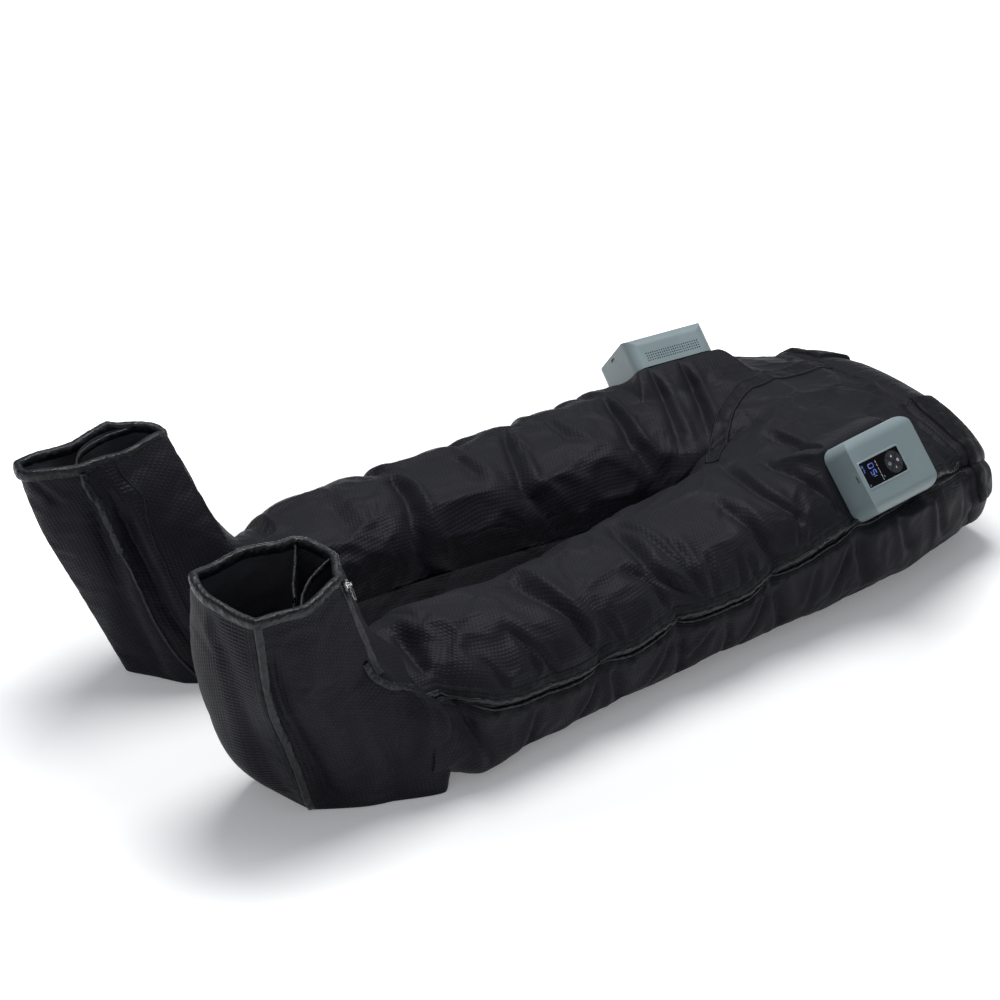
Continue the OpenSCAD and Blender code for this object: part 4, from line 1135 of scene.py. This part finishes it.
# The height on the boot from which its chain is seen, and the columns kept beside the chain
chain_start = 176 * MM
far_columns = 40
for side in sides:
    sign = -out_of(side)
    grid, around = shell_grids[side]
    rows = np.nonzero(shell_x < zip_end)[0]
    grid, around = grid[rows], around[rows]
    gape = zip_opening(side, shell_x[rows])
    up, down = -1.2 - 4 * gape, 1 + 3 * gape
    near_end = np.clip((zip_end - shell_x[rows]) / (10 * MM), 0, 1)
    upper = [(-20, 0), (-19.5, 1.3), (-12, 1.7), (up - 4, 2.2), (up - 2, 2.4), (up - 1, -1)]
    piece = strip(f"{side}_zip_upper_tape", grid, around, sign, upper, stitched_tape)
    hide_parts(f"{side}_zip")
    trim(piece)
    rolled = [
        (up - 4.8, 1.4), (up - 5, 3.4), (up - 2.4, 5.4 * near_end), (up + 1, 4.8 * near_end),
        (up + 1.8, 2), (up + 0.6, -2.5),
    ]
    trim(strip(f"{side}_zip_upper_edge", grid, around, sign, rolled, shiny_tape, loose=0.8))
    chain = [(-3.4, 0.6), (-2.6, 2), (-0.5, 2.4), (0, 1.4), (0.5, 2.4), (2.6, 2), (3.4, 0.6)]
    trim(strip(f"{side}_zip_chain", grid, around, sign, chain, chain_material))
    lower_roll = [
        (down - 0.4, -2.5), (down - 0.8, 1.4), (down + 0.8, 3.2 * near_end), (down + 2.8, 2.4),
        (down + 3.2, 0.4),
    ]
    trim(strip(f"{side}_zip_lower_edge", grid, around, sign, lower_roll, shiny_tape, loose=0.4))
    lower = [(down + 2.8, 0), (down + 3, 1.2), (13, 1.2), (16.5, 0.9), (17, 0)]
    trim(strip(f"{side}_zip_lower_tape", grid, around, sign, lower, stitched_tape))

    wall, around = boot_grids[side]
    column = sum(columns_between[:chain_line])
    turn = wall.shape[1] // 2 - column
    rows = np.nonzero(wall[:, column, 2] > chain_start)[0]
    kept = slice(far_columns, -far_columns)
    grid, across = (np.roll(part, turn, axis=1)[rows][:, kept] for part in (wall, around))
    corner_chain = [
        (-7, 0), (-6.6, 0.8), (-2.2, 1), (-2, 1.9), (-0.6, 2), (0, 0.8), (0.6, 2), (2, 1.9),
        (2.2, 1), (6.6, 0.8), (7, 0),
    ]
    trim(strip(f"{side}_boot_chain", grid, across, sign, corner_chain, chain_material))


# The waist: a padded band round the opening whose edge rolls over into the lining, which runs on
# down the hips and both legs to the boots. A belt of dark webbing lies round each side of it.
# Profiles here are (distance along the garment from the waist's edge, lift off the cloth)
waist_band = [
    (-58, -1), (-57, 0.6), (-52, 4.5), (-36, 7.5), (-18, 7), (-4, 4.5), (2.5, 1.5), (4, -3),
    (2, -9),
]
lining_depth = 26
inside = [(2.5, -8), (0, -14), (-12, -17), (-40, -19)]
inside += [(-distance, -lining_depth) for distance in range(70, 900, 26)]


def waist_strip(piece, side, columns, profile, material, fine=1):
    """A band that runs round the garment at the waist, over some of the shell's columns."""
    grid = shell_grids[side][0].transpose(1, 0, 2)[columns]
    from_edge = np.broadcast_to(shell_x - shell_x[-1], grid.shape[:2])
    return strip(f"{side}_{piece}", grid, from_edge, out_of(side), profile, material, fine=fine)


for side in sides:
    whole = slice(None)
    trim(waist_strip("waistband_edge", side, whole, waist_band, shell_cloth))
    trim(waist_strip("lining", side, whole, inside, lining_material))

belt_colour = (0.008, 0.0082, 0.0102)
belt_cloth = tape_finish("belt_webbing", belt_colour, [0.004, 0.05], (0.02, 0.021, 0.024))
belt_columns = {"left": (26, 90), "right": (38, 96)}
for side in sides:
    first, last = belt_columns[side]
    from_ends = np.arange(last - first)
    ends = np.minimum(1, np.minimum(from_ends, from_ends[::-1]) / 1.5)
    belt = [
        (-47, 2), (-47.5, 9 * ends), (-42, 12 * ends), (-8, 11 * ends), (-2.5, 9 * ends), (-2, 2),
    ]
    strap = waist_strip("waist_belt", side, slice(first, last), belt, belt_cloth, fine=2)
    if side == "left":
        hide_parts("waist_belt")
    trim(strap)

# The front placket: a folded band with a stitched, raised edge on each side, from the crotch over
# the right hip to the waistband. It lies flat on the cloth and is a little wider at the waist.
placket_path = [
    (226, -62, 7), (242, -46, 8), (266, -26, 9), (302, 4, 9), (345, 31, 9), (384, 44, 10),
    (444, 49, 12), (500, 55, 14), (528, 58, 15),
]
# Across the placket: distance from its middle as a share of its half width, and lift
placket_profile = [
    (-1.35, -2), (-1.3, 0.6), (-1.12, 2.2), (-0.95, 2), (-0.85, 0.8), (-0.5, 1), (0, 1.1), (0.5, 1),
    (0.85, 0.8), (0.95, 2), (1.12, 2.2), (1.3, 0.6), (1.35, -2),
]
placket_points = 110
drape = 4.5 * MM
front_cloth = [shell_grids[side][0][:, :columns_up].reshape(-1, 3) for side in sides]
top_points = np.concatenate(front_cloth)
placket_line = smooth_line(placket_path, placket_points) * MM
run = unit_long(np.gradient(placket_line[:, :2], axis=0))
to_side = np.stack([-run[:, 1], run[:, 0]], 1)
along = np.arange(placket_points) * np.linalg.norm(placket_line[1, :2] - placket_line[0, :2])
rows, places = [], []
for share, lift in placket_profile:
    spot = placket_line[:, :2] + to_side * placket_line[:, 2:] * share
    away = np.linalg.norm(top_points[None, :, :2] - spot[:, None], axis=2)
    weight = np.exp(-((away / drape) ** 2)) + 1e-12
    high = (weight * top_points[:, 2]).sum(1) / weight.sum(1)
    rows.append(np.column_stack([spot, high + lift * MM]))
    across = (share - placket_profile[0][0]) * 10 * MM
    places.append(np.column_stack([along, 0 * along + across]))
placket_colour = (0.0098, 0.0098, 0.0125)
placket_cloth = tape_finish(
    "placket_cloth", placket_colour, [0.0032, 0.0238], (0.045, 0.046, 0.05)
)
placket = banded("front_placket_band", np.stack(rows, 1), placket_cloth, np.stack(places, 1))
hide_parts("front_placket")
trim(placket)


# The control units: loaf-shaped casings of satin grey plastic in two screwed halves, each on a
# padded dock sewn to a hip. A black window holds lit figures and a round group of four keys, and
# inside are a battery, a circuit board, an air pump and the rotor that shares air out.
def dress(material, *names):
    """Gives the CAD's own parts of both sides a finished material."""
    for name in names:
        for side in sides:
            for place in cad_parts[f"{side}_{name}"].material_slots:
                place.material = material


def moulded(name, colour, roughness, grain, depth, scuffs, **constants):
    """A hard finish: fine grain, slow changes of gloss and faint scuffs."""
    material, shader, shade = finish(name, colour, roughness, **constants)
    places = shade.node("ShaderNodeTexCoord", {}, {}, "Object")
    slow = uneven(places, 24.0, 4.0)
    rubbed = slow.step(0.5, 0.68) * scuffs
    feed(shader, "Base Color", tint(rubbed, colour, [min(1, 1.5 * c + 0.01) for c in colour]))
    feed(shader, "Roughness", roughness - 0.05 + slow * 0.1 + rubbed * 0.12)
    raise_up(shader, uneven(places, grain, 3.0) * depth)
    return material


casing_grey = (0.228, 0.291, 0.302)
casing = moulded("satin_casing", casing_grey, 0.38, 1500, 0.00005, 0.12, Coat_Weight=0.1)
dress(casing, "casing_top", "casing_base")
dress(moulded("dock_cover", (0.011, 0.0115, 0.0135), 0.6, 600, 0.0004, 0.4), "dock_plate")
window_glass = moulded(
    "window_glass", (0.001, 0.001, 0.0022), 0.3, 80, 0.000005, 0.1, Specular_IOR_Level=0.15
)
dress(window_glass, "display_lens")
key_plastic = moulded("key_plastic", (0.02, 0.022, 0.028), 0.3, 1800, 0.00005, 0.3, Coat_Weight=0.3)
dress(key_plastic, "button_up", "button_down", "button_left", "button_right")
battery_wrap = moulded("battery_wrap", (0.03, 0.13, 0.36), 0.28, 90, 0.0003, 0.2, Coat_Weight=0.4)
dress(battery_wrap, "battery_pack")
dress(moulded("cast_zinc", (0.32, 0.34, 0.35), 0.42, 900, 0.00012, 0.3, Metallic=0.9), "pump_body")
dress(moulded("valve_plastic", (0.62, 0.63, 0.6), 0.4, 1300, 0.00006, 0.1), "distributor_body")
steel = moulded("turned_steel", (0.56, 0.57, 0.58), 0.24, 1900, 0.00004, 0.2, Metallic=1.0)
dress(steel, "pump_rotor", "distributor_rotor", "case_screws")
hose_tube = moulded(
    "hose_tube", (0.5, 0.55, 0.56), 0.3, 400, 0.00005, 0.1, Transmission_Weight=0.25
)
dress(hose_tube, "air_hoses")
nickel = moulded("nickel_plate", (0.68, 0.68, 0.66), 0.18, 1200, 0.00004, 0.25, Metallic=1.0)
dress(nickel, "zip_slider", "zip_pull")

board_green, board_shader, shade = finish("board_green", (0.01, 0.09, 0.035), 0.4)
places = shade.node("ShaderNodeTexCoord", {}, {}, "Object")
squares = {"Vector": places, "Scale": 260.0}
copper = shade.node("ShaderNodeTexVoronoi", {"distance": "MANHATTAN"}, squares).step(0.42, 0.46)
feed(board_shader, "Base Color", tint(copper, (0.008, 0.07, 0.03), (0.06, 0.2, 0.06)))
feed(board_shader, "Roughness", 0.3 + copper * 0.2)
dress(board_green, "circuit_board")


def glowing(name, colour, roughness, scale, ends, dim, bright):
    """Marks lit from behind, a little unevenly, between a dim and a bright colour."""
    material, shader, shade = finish(name, colour, roughness, Emission_Strength=1.0)
    glow = uneven(shade.node("ShaderNodeTexCoord", {}, {}, "Object"), scale, 1.0)
    feed(shader, "Emission Color", tint(glow.step(*ends), dim, bright))
    return material


lit_marks = glowing(
    "lit_marks", (0.02, 0.03, 0.1), 0.4, 160.0, (0.4, 0.62), (0.06, 0.1, 0.5), (0.16, 0.26, 0.62)
)
white_marks = glowing(
    "white_marks", (0.5, 0.52, 0.56), 0.5, 300.0, (0.35, 0.6), (0.1, 0.1, 0.12), (0.42, 0.43, 0.46)
)

# Bars of a lit figure that are on, from the top bar clockwise, the middle one last
lit_bars = {0: (1, 1, 1, 1, 1, 1, 0), 1: (0, 1, 1, 0, 0, 0, 0), 5: (1, 0, 1, 1, 0, 1, 1)}


def figure_bars(value, up, right, tall, thick):
    """Bars of one figure as (place up, place right, length up, length right), in mm."""
    wide = tall * 0.62
    upright = tall / 2, thick
    level = thick, wide
    bars = [
        (tall / 2, 0, *level), (tall / 4, wide / 2, *upright), (-tall / 4, wide / 2, *upright),
        (-tall / 2, 0, *level), (-tall / 4, -wide / 2, *upright), (tall / 4, -wide / 2, *upright),
        (0, 0, *level),
    ]
    lit = [bar for on, bar in zip(lit_bars[value], bars) if on]
    return [(up + a, right + b, u * 0.9, r * 0.9) for a, b, u, r in lit]


def part_ring(up, right, radius, thick, start, end):
    """Short bars round part of a circle."""
    turns = np.radians(np.arange(start, end, 20))
    return [(up + radius * cos(t), right + radius * sin(t), thick, thick) for t in turns]


mark_lift = 0.06


def flat_marks(name, middle, directions, bars, material, body):
    """Thin marks just over a face, each a small bar with cut corners, on a body."""
    points, faces = [], []
    for up, right, tall, wide in bars:
        cut = min(tall, wide) * 0.25
        corners = [(tall / 2 - cut, wide / 2), (tall / 2, wide / 2 - cut)]
        corners += [(a, -b) for a, b in corners[::-1]]
        corners += [(-a, -b) for a, b in corners]
        faces.append(list(range(len(points), len(points) + len(corners))))
        places = np.array([(up + a, right + b, mark_lift) for a, b in corners]) * MM
        points += list(middle + places @ directions)
    marks = mesh_piece(name, points, faces, [material])
    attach(marks, body)


# The window's rim is the casing's grey painted lighter: a painted highlight along its edge
rim_highlight_colour = (0.27, 0.33, 0.335)
rim_highlight_grey = moulded("window_rim_painted_highlight", rim_highlight_colour, 0.3, 1500, 0.00004, 0.2, Coat_Weight=0.2)
rim_corner = 2.2 * MM
rim_room = 0.15 * MM
rim_profile = [(-0.5, -1.0), (-0.3, 0.6), (0.2, 0.95), (1.3, 0.85), (2, 0.35), (2.3, -0.4)]
for side in sides:
    unit = f"{side}_control_unit"
    directions, reach = unit_axes(side)
    out = directions[2]
    low, high = reach.min(0), reach.max(0)
    middle = np.array([*(low + high)[:2] / 2, high[2]]) @ directions
    half = (high - low)[:2] / 2 + rim_room
    turns = np.radians(np.arange(0, 360, 7.5))
    edge = np.stack([np.cos(turns), np.sin(turns)], 1)
    edge = edge * rim_corner + np.sign(np.round(edge, 6)) * (half - rim_corner)
    edge = edge @ directions[:2] + middle
    edge = np.concatenate([edge, edge[:1]])
    rim = swept(f"{side}_window_rim", edge, out[None, :], rim_profile, rim_highlight_grey, closed=True)
    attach(rim, unit)

    bars = figure_bars(0, 18, 8.4, 8.6, 1.2) + figure_bars(5, 18, -0.4, 8.6, 1.2)
    bars += figure_bars(1, 18, -7.5, 6.4, 0.8) + part_ring(32.4, 11.6, 1.4, 0.6, 0, 350)
    bars += [(31.2 + 0.35 * k, 8.4 - 1.5 * k, 1 + 0.7 * k, 0.8) for k in range(4)]
    bars += [(4.4, -11, 0.7, 2.6), (32.4, -14.2, 2, 0.7), (32.4, -12.9, 1.2, 0.6)]
    flat_marks(f"{side}_lit_figures", middle, directions, bars, lit_marks, unit)
    dashes = [(7.9, 10.4 - 4.7 * k, 0.5, 3.6) for k in range(6)]
    flat_marks(f"{side}_lit_dashes", middle, directions, dashes, white_marks, unit)
    signs = {
        "up": part_ring(0, 0, 1.7, 0.6, 40, 330) + [(1.6, 0, 1.9, 0.6)],
        "down": part_ring(0, 0, 1.7, 0.55, 0, 350) + [(0.4, 0, 1.3, 0.4), (0, 0.5, 0.4, 1.2)],
        "left": [(0, 0, 0.7, 3)],
        "right": [(0, 0, 0.7, 3), (0, 0, 3, 0.7)],
    }
    for key, bars in signs.items():
        button = f"{side}_button_{key}"
        spots = places_of(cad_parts[button])
        level = spots @ out
        face = spots[level > level.max() - 0.1 * MM]
        spot = (face.min(0) + face.max(0)) / 2
        spot = spot + out * (level.max() - spot @ out)
        flat_marks(f"{side}_{key}_sign", spot, directions, bars, white_marks, button)
